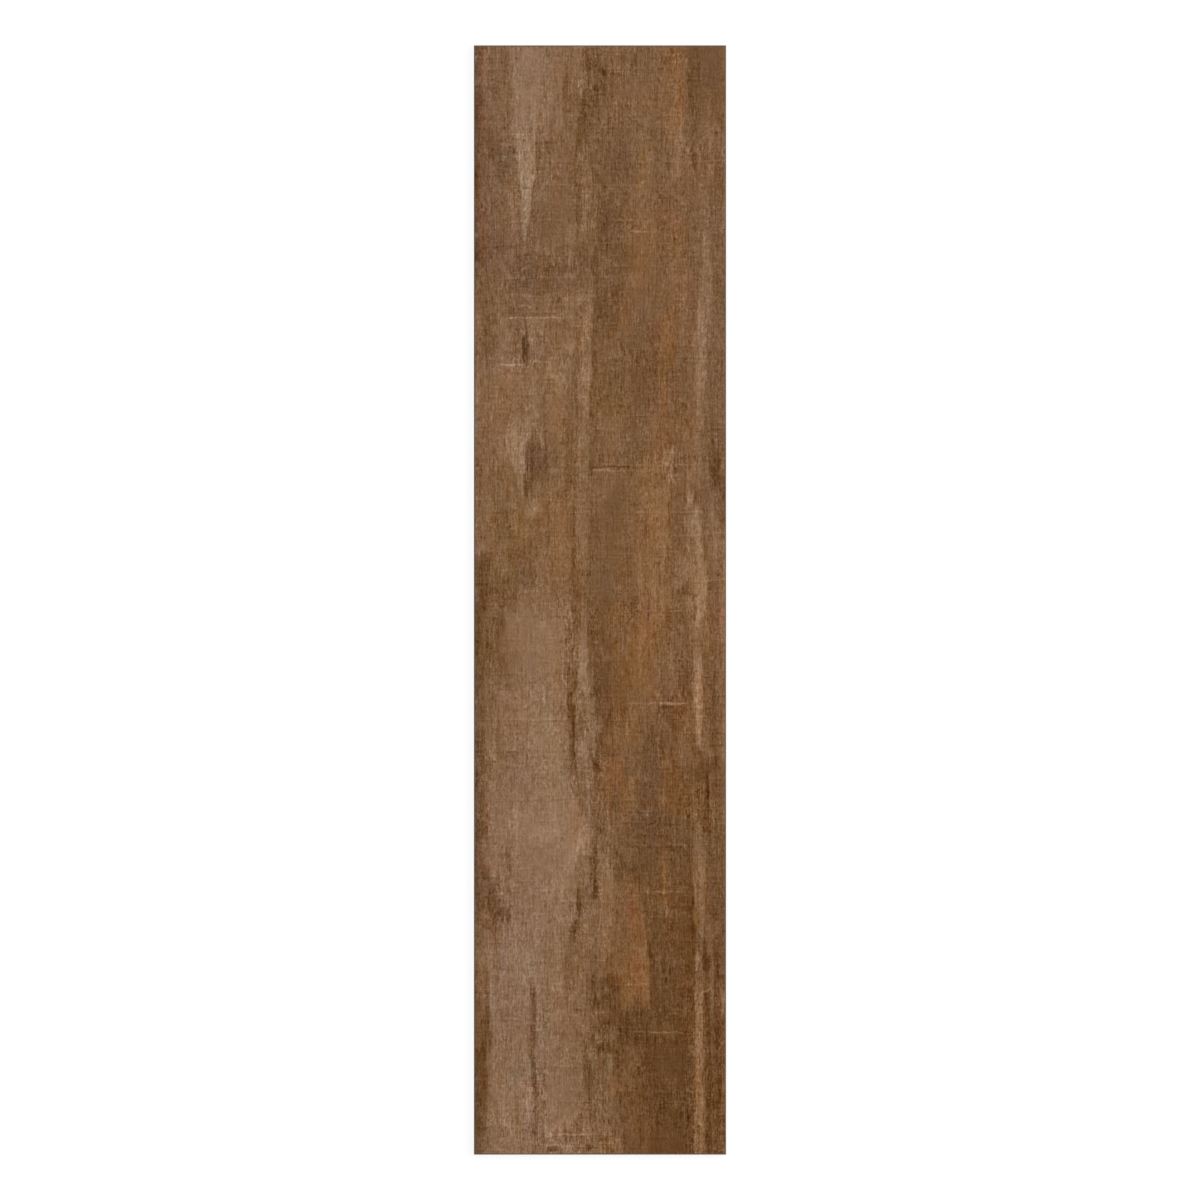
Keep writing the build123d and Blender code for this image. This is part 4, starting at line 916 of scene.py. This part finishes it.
def relief():
    """How deep the face lies under its highest level: saw marks, hollows and dark cracks."""
    saw = 0.5 - 0.5 * np.cos(2 * np.pi * strokes)
    saw *= 0.5 + 0.5 * lattice(across, down, 40, 20, 21)
    depth = LEAST_DEPTH + SAW_DEPTH * saw
    depth += HOLLOW_DEPTH * lattice(across, down, 30, 120, 22)
    depth += FIBRE_DEPTH * lattice(across, down, 2.6, 30, 23)
    dark = np.clip(-tone * LEVELS - CRACK_STARTS, 0, CRACK_SPAN) / CRACK_SPAN
    return np.clip(depth + CRACK_DEPTH * dark, 0, DEEPEST)


depth = relief()


# The closed mesh: face, bevel, sides, and the back as the solid has it


def ring(first, per_row, count):
    """The sheet's rim, anticlockwise seen from above, from its upper left corner."""
    last = first + per_row * (count - 1)
    left = [first + per_row * i for i in range(count - 1)]
    foot = [last + i for i in range(per_row - 1)]
    right = [last + per_row - 1 - per_row * i for i in range(count - 1)]
    top = [first + per_row - 1 - i for i in range(per_row - 1)]
    return left, foot, right, top


def build_tile():
    per_row, count = CELLS_ACROSS + 1, CELLS_ALONG + 1
    face = np.stack([across - WIDTH / 2, LENGTH / 2 - down, THICKNESS - depth], 1)
    runs = ring(0, per_row, count)
    rim = [i for run in runs for i in run]
    # The bevel's plane cuts a hollow in the face nearer to the edge
    half = np.array([WIDTH / 2, LENGTH / 2])
    for i in rim:
        on_edge = np.abs(np.abs(face[i, :2]) - (half - FACE_BEVEL)) < CLOSE
        face[i, :2] += np.sign(face[i, :2]) * on_edge * depth[i]
    outer = face[rim].copy()
    for at, i in enumerate(rim):
        on_edge = half - np.abs(face[i, :2]) < FACE_BEVEL + CLOSE
        outer[at, :2] = np.where(on_edge, np.sign(face[i, :2]) * half, face[i, :2])
    outer[:, 2] = THICKNESS - FACE_BEVEL

    cad = bmesh.new()
    cad.from_mesh(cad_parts["tile"].data)
    bmesh.ops.remove_doubles(cad, verts=cad.verts, dist=1e-6)
    above = [f for f in cad.faces if max(p.co.z for p in f.verts) > (LEAD_IN + PAST) * MM]
    bmesh.ops.delete(cad, geom=above, context="FACES")
    cad.verts.index_update()
    back = np.array([p.co for p in cad.verts]) / MM
    back_faces = [[p.index for p in f.verts] for f in cad.faces]
    cad.free()

    first_outer = len(face)
    first_back = first_outer + len(outer)
    points = np.concatenate([face, outer, back])
    cells = np.arange(per_row * count).reshape(count, per_row)
    quads = np.stack([cells[:-1, :-1], cells[1:, :-1], cells[1:, 1:], cells[:-1, 1:]], -1)
    faces = quads.reshape(-1, 4).tolist()
    kinds = [0] * len(faces)
    for at, i in enumerate(rim):
        after = (at + 1) % len(rim)
        faces.append([i, first_outer + at, first_outer + after, rim[after]])
        kinds.append(1)

    # Each side is two fans, from its lower corners up to the points of the bevel
    corners = [
        first_back + int(np.abs(back - [x * WIDTH / 2, y * LENGTH / 2, LEAD_IN]).sum(1).argmin())
        for x, y in ((-1, 1), (-1, -1), (1, -1), (1, 1))
    ]
    start = 0
    for side, run in enumerate(runs):
        begin, end = corners[side], corners[(side + 1) % 4]
        middle = len(run) // 2
        for step in range(len(run)):
            here = first_outer + start + step
            after = first_outer + (start + step + 1) % len(rim)
            faces.append([here, begin if step < middle else end, after])
            kinds.append(2)
        faces.append([begin, end, first_outer + start + middle])
        kinds.append(2)
        start += len(run)
    for corners_of_face in back_faces:
        faces.append([first_back + i for i in corners_of_face])
        kinds.append(3)

    mesh = bpy.data.meshes.new("porcelain_tile")
    mesh.from_pydata((points * MM).tolist(), [], faces)
    painting = {
        "tone": tone,
        "warmth": warmth,
        "cast": cast,
        "flecks": flecks,
        "strokes": strokes,
        "fray_across": lean_across.ravel() * FRAY_ACROSS,
        "fray_down": lean_down.ravel() * FRAY_DOWN,
    }
    for name, values in painting.items():
        attribute = mesh.attributes.new(name, "FLOAT", "POINT")
        filled = np.zeros(len(points), np.float32)
        filled[: len(values)] = values
        attribute.data.foreach_set("value", filled)
    kinds = np.array(kinds)
    mesh.polygons.foreach_set("material_index", (kinds > 0).astype(np.int32))
    mesh.polygons.foreach_set("use_smooth", kinds == 0)
    map_for_baking(mesh, kinds)
    tile = bpy.data.objects.new("porcelain_tile", mesh)
    bpy.context.scene.collection.objects.link(tile)
    sharpen(mesh)
    return tile


def sharpen(mesh):
    """Keeps the shading of the face apart from the bevel's."""
    work = bmesh.new()
    work.from_mesh(mesh)
    for edge in work.edges:
        if len({f.material_index for f in edge.link_faces}) > 1:
            edge.smooth = False
    work.to_mesh(mesh)
    work.free()


def map_for_baking(mesh, kinds):
    """The face as two wide halves, with the rim and the back in the strips above them."""
    half_pitch, half_height = 0.45, 0.44
    rim_foot, rim_height = 0.90, 0.02
    back_foot, back_height = 0.95, 0.05
    layer = mesh.uv_layers.new(name="OFBake")
    corner_point = np.empty(len(mesh.loops), np.int32)
    mesh.loops.foreach_get("vertex_index", corner_point)
    place = np.empty(len(mesh.vertices) * 3, np.float32)
    mesh.vertices.foreach_get("co", place)
    place = place.reshape(-1, 3)[corner_point] / MM
    x, y, z = place[:, 0] / WIDTH + 0.5, 0.5 - place[:, 1] / LENGTH, place[:, 2] / THICKNESS
    starts = np.empty(len(mesh.polygons), np.int32)
    totals = np.empty(len(mesh.polygons), np.int32)
    mesh.polygons.foreach_get("loop_start", starts)
    mesh.polygons.foreach_get("loop_total", totals)
    kind = np.repeat(kinds, totals)
    middle = np.repeat(np.add.reduceat(y, starts) / totals, totals)
    lower = middle > 0.5
    uv = np.zeros((len(x), 2))
    face = kind == 0
    uv[:, 0] = np.where(face, np.where(lower, 2 * y - 1, 2 * y), y)
    uv[:, 1] = np.where(lower, half_pitch, 0) + half_height * x
    rim = (kind == 1) | (kind == 2)
    uv[rim, 1] = rim_foot + rim_height * (x[rim] + z[rim])
    rest = kind == 3
    uv[rest, 1] = back_foot + back_height * x[rest]
    layer.uv.foreach_set("vector", uv.astype(np.float32).ravel())


# Materials


class Shader:
    """A material's nodes, with short ways to write what this scene needs."""

    def __init__(self, name):
        self.material = bpy.data.materials.new(name)
        self.material.use_nodes = True
        self.tree = self.material.node_tree
        self.surface = self.tree.nodes["Principled BSDF"]
        where = self.node("ShaderNodeTexCoord").outputs["Object"]
        self.place = self.vector("SCALE", where, scale=1 / MM)

    def node(self, kind, **settings):
        made = self.tree.nodes.new(kind)
        for key, value in settings.items():
            setattr(made, key, value)
        return made

    def feed(self, socket, value):
        if isinstance(value, bpy.types.NodeSocket):
            self.tree.links.new(value, socket)
        else:
            socket.default_value = value

    def math(self, operation, *values):
        made = self.node("ShaderNodeMath", operation=operation)
        for socket, value in zip(made.inputs, values):
            self.feed(socket, value)
        return made.outputs[0]

    def vector(self, operation, *values, scale=None):
        made = self.node("ShaderNodeVectorMath", operation=operation)
        for socket, value in zip(made.inputs, values):
            self.feed(socket, value)
        if scale is not None:
            self.feed(made.inputs["Scale"], scale)
        return made.outputs["Vector"]

    def fold(self, operation, so_far, *values):
        for value in values:
            so_far = self.math(operation, so_far, value)
        return so_far

    def total(self, *values):
        return self.fold("ADD", *values)

    def times(self, *values):
        return self.fold("MULTIPLY", *values)

    def noise(self, size, detail, seed, roughness=0.5):
        """Noise round 0, about -0.5 to 0.5, in blobs of size millimetres (across, along)."""
        moved = self.vector("ADD", self.place, (seed * 17.3, seed * 41.9, seed * 7.7))
        scaled = self.vector("MULTIPLY", moved, (1 / size[0], 1 / size[1], 1 / size[0]))
        made = self.node("ShaderNodeTexNoise")
        self.feed(made.inputs["Vector"], scaled)
        made.inputs["Scale"].default_value = 1.0
        made.inputs["Detail"].default_value = detail
        made.inputs["Roughness"].default_value = roughness
        return self.math("SUBTRACT", made.outputs["Fac"], 0.5)

    def over(self, value, bar, span):
        """0 up to the bar, and rising to 1 over span past it."""
        made = self.node("ShaderNodeMapRange", interpolation_type="SMOOTHSTEP")
        self.feed(made.inputs["Value"], value)
        made.inputs["From Min"].default_value = bar
        made.inputs["From Max"].default_value = bar + span
        return made.outputs["Result"]

    def line(self, off, half_width, span):
        """1 where off is near 0, and falling to 0 over span past the half width."""
        return self.math("SUBTRACT", 1.0, self.over(self.math("ABSOLUTE", off), half_width, span))

    def attribute(self, name):
        return self.node("ShaderNodeAttribute", attribute_name=name).outputs["Fac"]

    def bump(self, height, distance):
        made = self.node("ShaderNodeBump")
        made.inputs["Strength"].default_value = 1.0
        made.inputs["Distance"].default_value = distance * MM
        self.feed(made.inputs["Height"], height)
        self.feed(self.surface.inputs["Normal"], made.outputs["Normal"])


# The grain that is finer than the sheet: how strong it is, and its size across and along

GRAIN = [
    (0.15, (1.0, 1.0)),
    (0.24, (1.0, 2.5)),
    (0.12, (1.0, 6.0)),
    (0.15, (2.0, 2.0)),
    (0.14, (2.0, 6.0)),
    (0.10, (1.6, 60.0)),
    (0.09, (4.0, 20.0)),
    (0.07, (14.0, 1.2)),
]

# Sparse hairs among it: how light, their size across and along, and how rare they are

HAIRS = [
    (0.058, (1.1, 5.0), 0.12),
    (-0.080, (1.0, 7.0), 0.12),
    (0.038, (1.2, 22.0), 0.13),
    (-0.068, (1.1, 20.0), 0.13),
    (0.045, (12.0, 1.3), 0.15),
    (-0.045, (8.0, 1.3), 0.16),
]
HAIR_SOFTNESS = 0.08
MEAN_ROUGHNESS = 0.92

# The curls' painted highlight on one side and painted shade on the other
CURL_PAINTED_HIGHLIGHT = 0.075
CURL_PAINTED_SHADE = 0.065
CURL_WIDTH = 0.07  # from one side to the other, as a step in the noise that they follow

# The glaze and the body, as linear colours, roughness, gloss and depth of relief
GLAZE_ROUGHNESS = 0.56
GLAZE_GLOSS = 0.12
GLAZE_RELIEF = 0.3
BODY_DARK = (0.085, 0.062, 0.040, 1)
BODY_LIGHT = (0.150, 0.112, 0.075, 1)
BODY_ROUGHNESS = 0.78
BODY_GLOSS = 0.3
BODY_RELIEF = 0.08


def grain(s):
    """Pores, hairs and strands, rougher in some parts of the plank than in others."""
    layers = []
    for seed, (strength, size) in enumerate(GRAIN):
        layers.append(s.times(s.noise(size, 0, seed), strength))
    for seed, (strength, size, rarity) in enumerate(HAIRS, 31):
        layers.append(s.times(s.over(s.noise(size, 0, seed), rarity, HAIR_SOFTNESS), strength))
    rough = s.total(s.attribute("flecks"), s.noise((8.0, 15.0), 1, 40), MEAN_ROUGHNESS)
    return s.times(s.total(*layers), rough)


def curls(s):
    """Short curly ridges where the grain is rough, with a painted highlight on one side and painted
    shade on the other.
    """
    height = s.noise((6.0, 9.0), 1, 41)
    light = s.line(height, 0.01, 0.05)
    dark = s.line(s.total(height, -CURL_WIDTH), 0.01, 0.05)
    # painted highlight and painted shade of each ridge, added to the face's colour
    ridge = s.total(s.times(light, CURL_PAINTED_HIGHLIGHT), s.times(dark, -CURL_PAINTED_SHADE))
    chance = s.total(s.noise((10.0, 12.0), 1, 42), s.times(s.attribute("flecks"), 0.4))
    return s.times(ridge, s.over(chance, 0.04, 0.14))


def frayed_figure(s):
    """The painted figure, with its edges pulled about along the grain."""
    return s.total(
        s.attribute("tone"),
        s.times(s.attribute("fray_across"), s.noise((1.6, 9.0), 1, 11)),
        s.times(s.attribute("fray_down"), s.noise((1.6, 14.0), 1, 12)),
    )


def saw_marks_painted_light_and_shade(s):
    """Where a stroke of the saw ended, here and there: a faint painted highlight, with painted
    shade just below it.
    """
    beside = s.math("SUBTRACT", s.math("FRACT", s.math("ADD", s.attribute("strokes"), 0.5)), 0.5)
    # painted highlight on the mark, and painted shade a little below it
    light = s.line(beside, 0.02, 0.11)
    dark = s.line(s.total(beside, -0.17), 0.03, 0.12)
    strength = s.total(0.006, s.times(s.noise((22.0, 12.0), 1, 13), 0.26))
    return s.times(s.total(light, s.times(dark, -0.7)), s.math("MAXIMUM", strength, 0.0))


def single_marks(s):
    """The marks that stand out, each a thin wavering line with faded ends."""
    place = s.node("ShaderNodeSeparateXYZ")
    s.feed(place.inputs[0], s.place)
    x = s.total(place.outputs["X"], s.times(s.noise((2.0, 4.0), 1, 15), 16.0))
    y = s.total(place.outputs["Y"], s.times(s.noise((7.0, 7.0), 1, 14), 3.0))
    marks = []
    for amount, at, left, right in MARKS:
        line = s.line(s.total(y, at - LENGTH / 2), 0.2, 0.9)
        span = s.line(s.total(x, WIDTH / 2 - (left + right) / 2), (right - left) / 2 - 2, 4.0)
        marks.append(s.times(line, span, amount * MARK_STEP))
    return s.total(*marks)


def printed_face():
    """The matt glaze with its wood print."""
    s = Shader("printed_glaze")
    fine = s.total(grain(s), curls(s))
    lines = s.total(saw_marks_painted_light_and_shade(s), single_marks(s))
    # Besides the print, fine and lines bring the curls' and saw marks' painted highlights and
    # painted shade into the colour
    lightness = s.total(frayed_figure(s), fine, lines)
    warm = s.total(
        s.attribute("warmth"),
        s.times(s.noise((4.0, 60.0), 1, 21), 0.04),
        s.times(s.noise((1.4, 5.0), 1, 22), 0.012),
    )
    green = s.total(s.attribute("cast"), s.times(s.noise((6.0, 14.0), 2, 23), 0.018))
    colour = MEAN_COLOUR
    for direction, amount in ((LIGHTER, lightness), (WARMER, warm), (GREENER, green)):
        colour = s.vector("ADD", colour, s.vector("SCALE", direction, scale=amount))
    # From the colour as displayed to the light that it returns
    raised = s.vector("SCALE", s.vector("ADD", colour, (0.055,) * 3), scale=1 / 1.055)
    linear = s.node("ShaderNodeGamma")
    linear.inputs["Gamma"].default_value = 2.4
    s.feed(linear.inputs["Color"], raised)
    # The glaze's own sheen adds a little white to all of it
    paint = s.vector("SUBTRACT", linear.outputs[0], (SHEEN, SHEEN, SHEEN))
    s.feed(s.surface.inputs["Base Color"], s.vector("MAXIMUM", paint, DARKEST))
    s.feed(s.surface.inputs["Roughness"], s.total(GLAZE_ROUGHNESS, s.times(fine, 0.5)))
    s.surface.inputs["Specular IOR Level"].default_value = GLAZE_GLOSS
    s.bump(s.total(fine, lines), GLAZE_RELIEF)
    return s.material


def fired_body():
    """The taupe body under the glaze, one material for the sanded edges and the plain back alike.
    """
    s = Shader("fired_body")
    grit = s.noise((0.5, 0.5), 3, 1, 0.7)
    clouds = s.noise((14.0, 14.0), 2, 2)
    mix = s.node("ShaderNodeMix", data_type="RGBA")
    s.feed(mix.inputs["Factor"], s.total(0.5, s.times(grit, 1.2), clouds))
    mix.inputs[6].default_value = BODY_DARK
    mix.inputs[7].default_value = BODY_LIGHT
    s.feed(s.surface.inputs["Base Color"], mix.outputs[2])
    s.feed(s.surface.inputs["Roughness"], s.total(BODY_ROUGHNESS, s.times(grit, 0.2)))
    s.surface.inputs["Specular IOR Level"].default_value = BODY_GLOSS
    s.bump(grit, BODY_RELIEF)
    return s.material


tile = build_tile()
tile.data.materials.append(printed_face())
tile.data.materials.append(fired_body())
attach(tile, "root")
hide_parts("tile")


# Studio: white to the eye, with plain soft light from above and from the right


def seen_directly(tree):
    """1 for a ray that shows the background: from the camera, a gloss or a glass."""
    path = tree.nodes.new("ShaderNodeLightPath")
    found = path.outputs["Is Camera Ray"]
    for name in ("Is Glossy Ray", "Is Transmission Ray"):
        either = tree.nodes.new("ShaderNodeMath")
        either.operation = "MAXIMUM"
        tree.links.new(found, either.inputs[0])
        tree.links.new(path.outputs[name], either.inputs[1])
        found = either.outputs[0]
    return found


def build_world(light):
    world = bpy.data.worlds.new("studio")
    world.use_nodes = True
    tree = world.node_tree
    background = tree.nodes["Background"]
    background.inputs["Color"].default_value = (1, 1, 1, 1)
    strength = tree.nodes.new("ShaderNodeMapRange")
    strength.inputs["To Min"].default_value = light
    strength.inputs["To Max"].default_value = 1.0
    tree.links.new(seen_directly(tree), strength.inputs["Value"])
    tree.links.new(strength.outputs["Result"], background.inputs["Strength"])
    bpy.context.scene.world = world


def build_floor():
    """A pale floor, white to the eye, that keeps the tile's shadow. From below it is clear."""
    bpy.ops.mesh.primitive_plane_add(size=FLOOR_SIZE)
    floor = bpy.context.object
    floor.name = "floor"
    floor.location.z = -FLOOR_GAP
    material = bpy.data.materials.new("pale_floor")
    material.use_nodes = True
    tree = material.node_tree
    tree.nodes.clear()
    seen = seen_directly(tree)
    paint = tree.nodes.new("ShaderNodeBsdfDiffuse")
    shade = tree.nodes.new("ShaderNodeMapRange")
    shade.inputs["To Min"].default_value = FLOOR_PAINT
    shade.inputs["To Max"].default_value = SHADOW_PAINT
    tree.links.new(seen, shade.inputs["Value"])
    tree.links.new(shade.outputs["Result"], paint.inputs["Color"])
    glow = tree.nodes.new("ShaderNodeEmission")
    lift = tree.nodes.new("ShaderNodeMapRange")
    lift.inputs["To Max"].default_value = FLOOR_GLOW
    tree.links.new(seen, lift.inputs["Value"])
    tree.links.new(lift.outputs["Result"], glow.inputs["Strength"])
    both = tree.nodes.new("ShaderNodeAddShader")
    tree.links.new(paint.outputs[0], both.inputs[0])
    tree.links.new(glow.outputs[0], both.inputs[1])
    clear = tree.nodes.new("ShaderNodeBsdfTransparent")
    side = tree.nodes.new("ShaderNodeNewGeometry")
    mix = tree.nodes.new("ShaderNodeMixShader")
    tree.links.new(side.outputs["Backfacing"], mix.inputs["Fac"])
    tree.links.new(both.outputs[0], mix.inputs[1])
    tree.links.new(clear.outputs[0], mix.inputs[2])
    output = tree.nodes.new("ShaderNodeOutputMaterial")
    tree.links.new(mix.outputs[0], output.inputs["Surface"])
    floor.data.materials.append(material)


def build_lamp(name, share, azimuth, height, softness):
    """A soft far lamp that gives a level white surface this share of full white."""
    lamp = bpy.data.lights.new(name, "SUN")
    lamp.energy = share * math.pi / math.sin(math.radians(height))
    lamp.angle = math.radians(softness)
    holder = bpy.data.objects.new(name, lamp)
    holder.rotation_euler = (0, math.radians(90 - height), math.radians(azimuth))
    bpy.context.scene.collection.objects.link(holder)


build_world(WORLD_LIGHT)
build_floor()
for lamp_name, settings in LAMPS.items():
    build_lamp(lamp_name, *settings)

camera = bpy.data.objects.new("camera", bpy.data.cameras.new("camera"))
camera.data.type = "ORTHO"
camera.data.ortho_scale = FRAME_SPAN
camera.location = (0, 0, CAMERA_HEIGHT)
bpy.context.scene.collection.objects.link(camera)
bpy.context.scene.camera = camera
bpy.context.scene.view_settings.view_transform = "Standard"
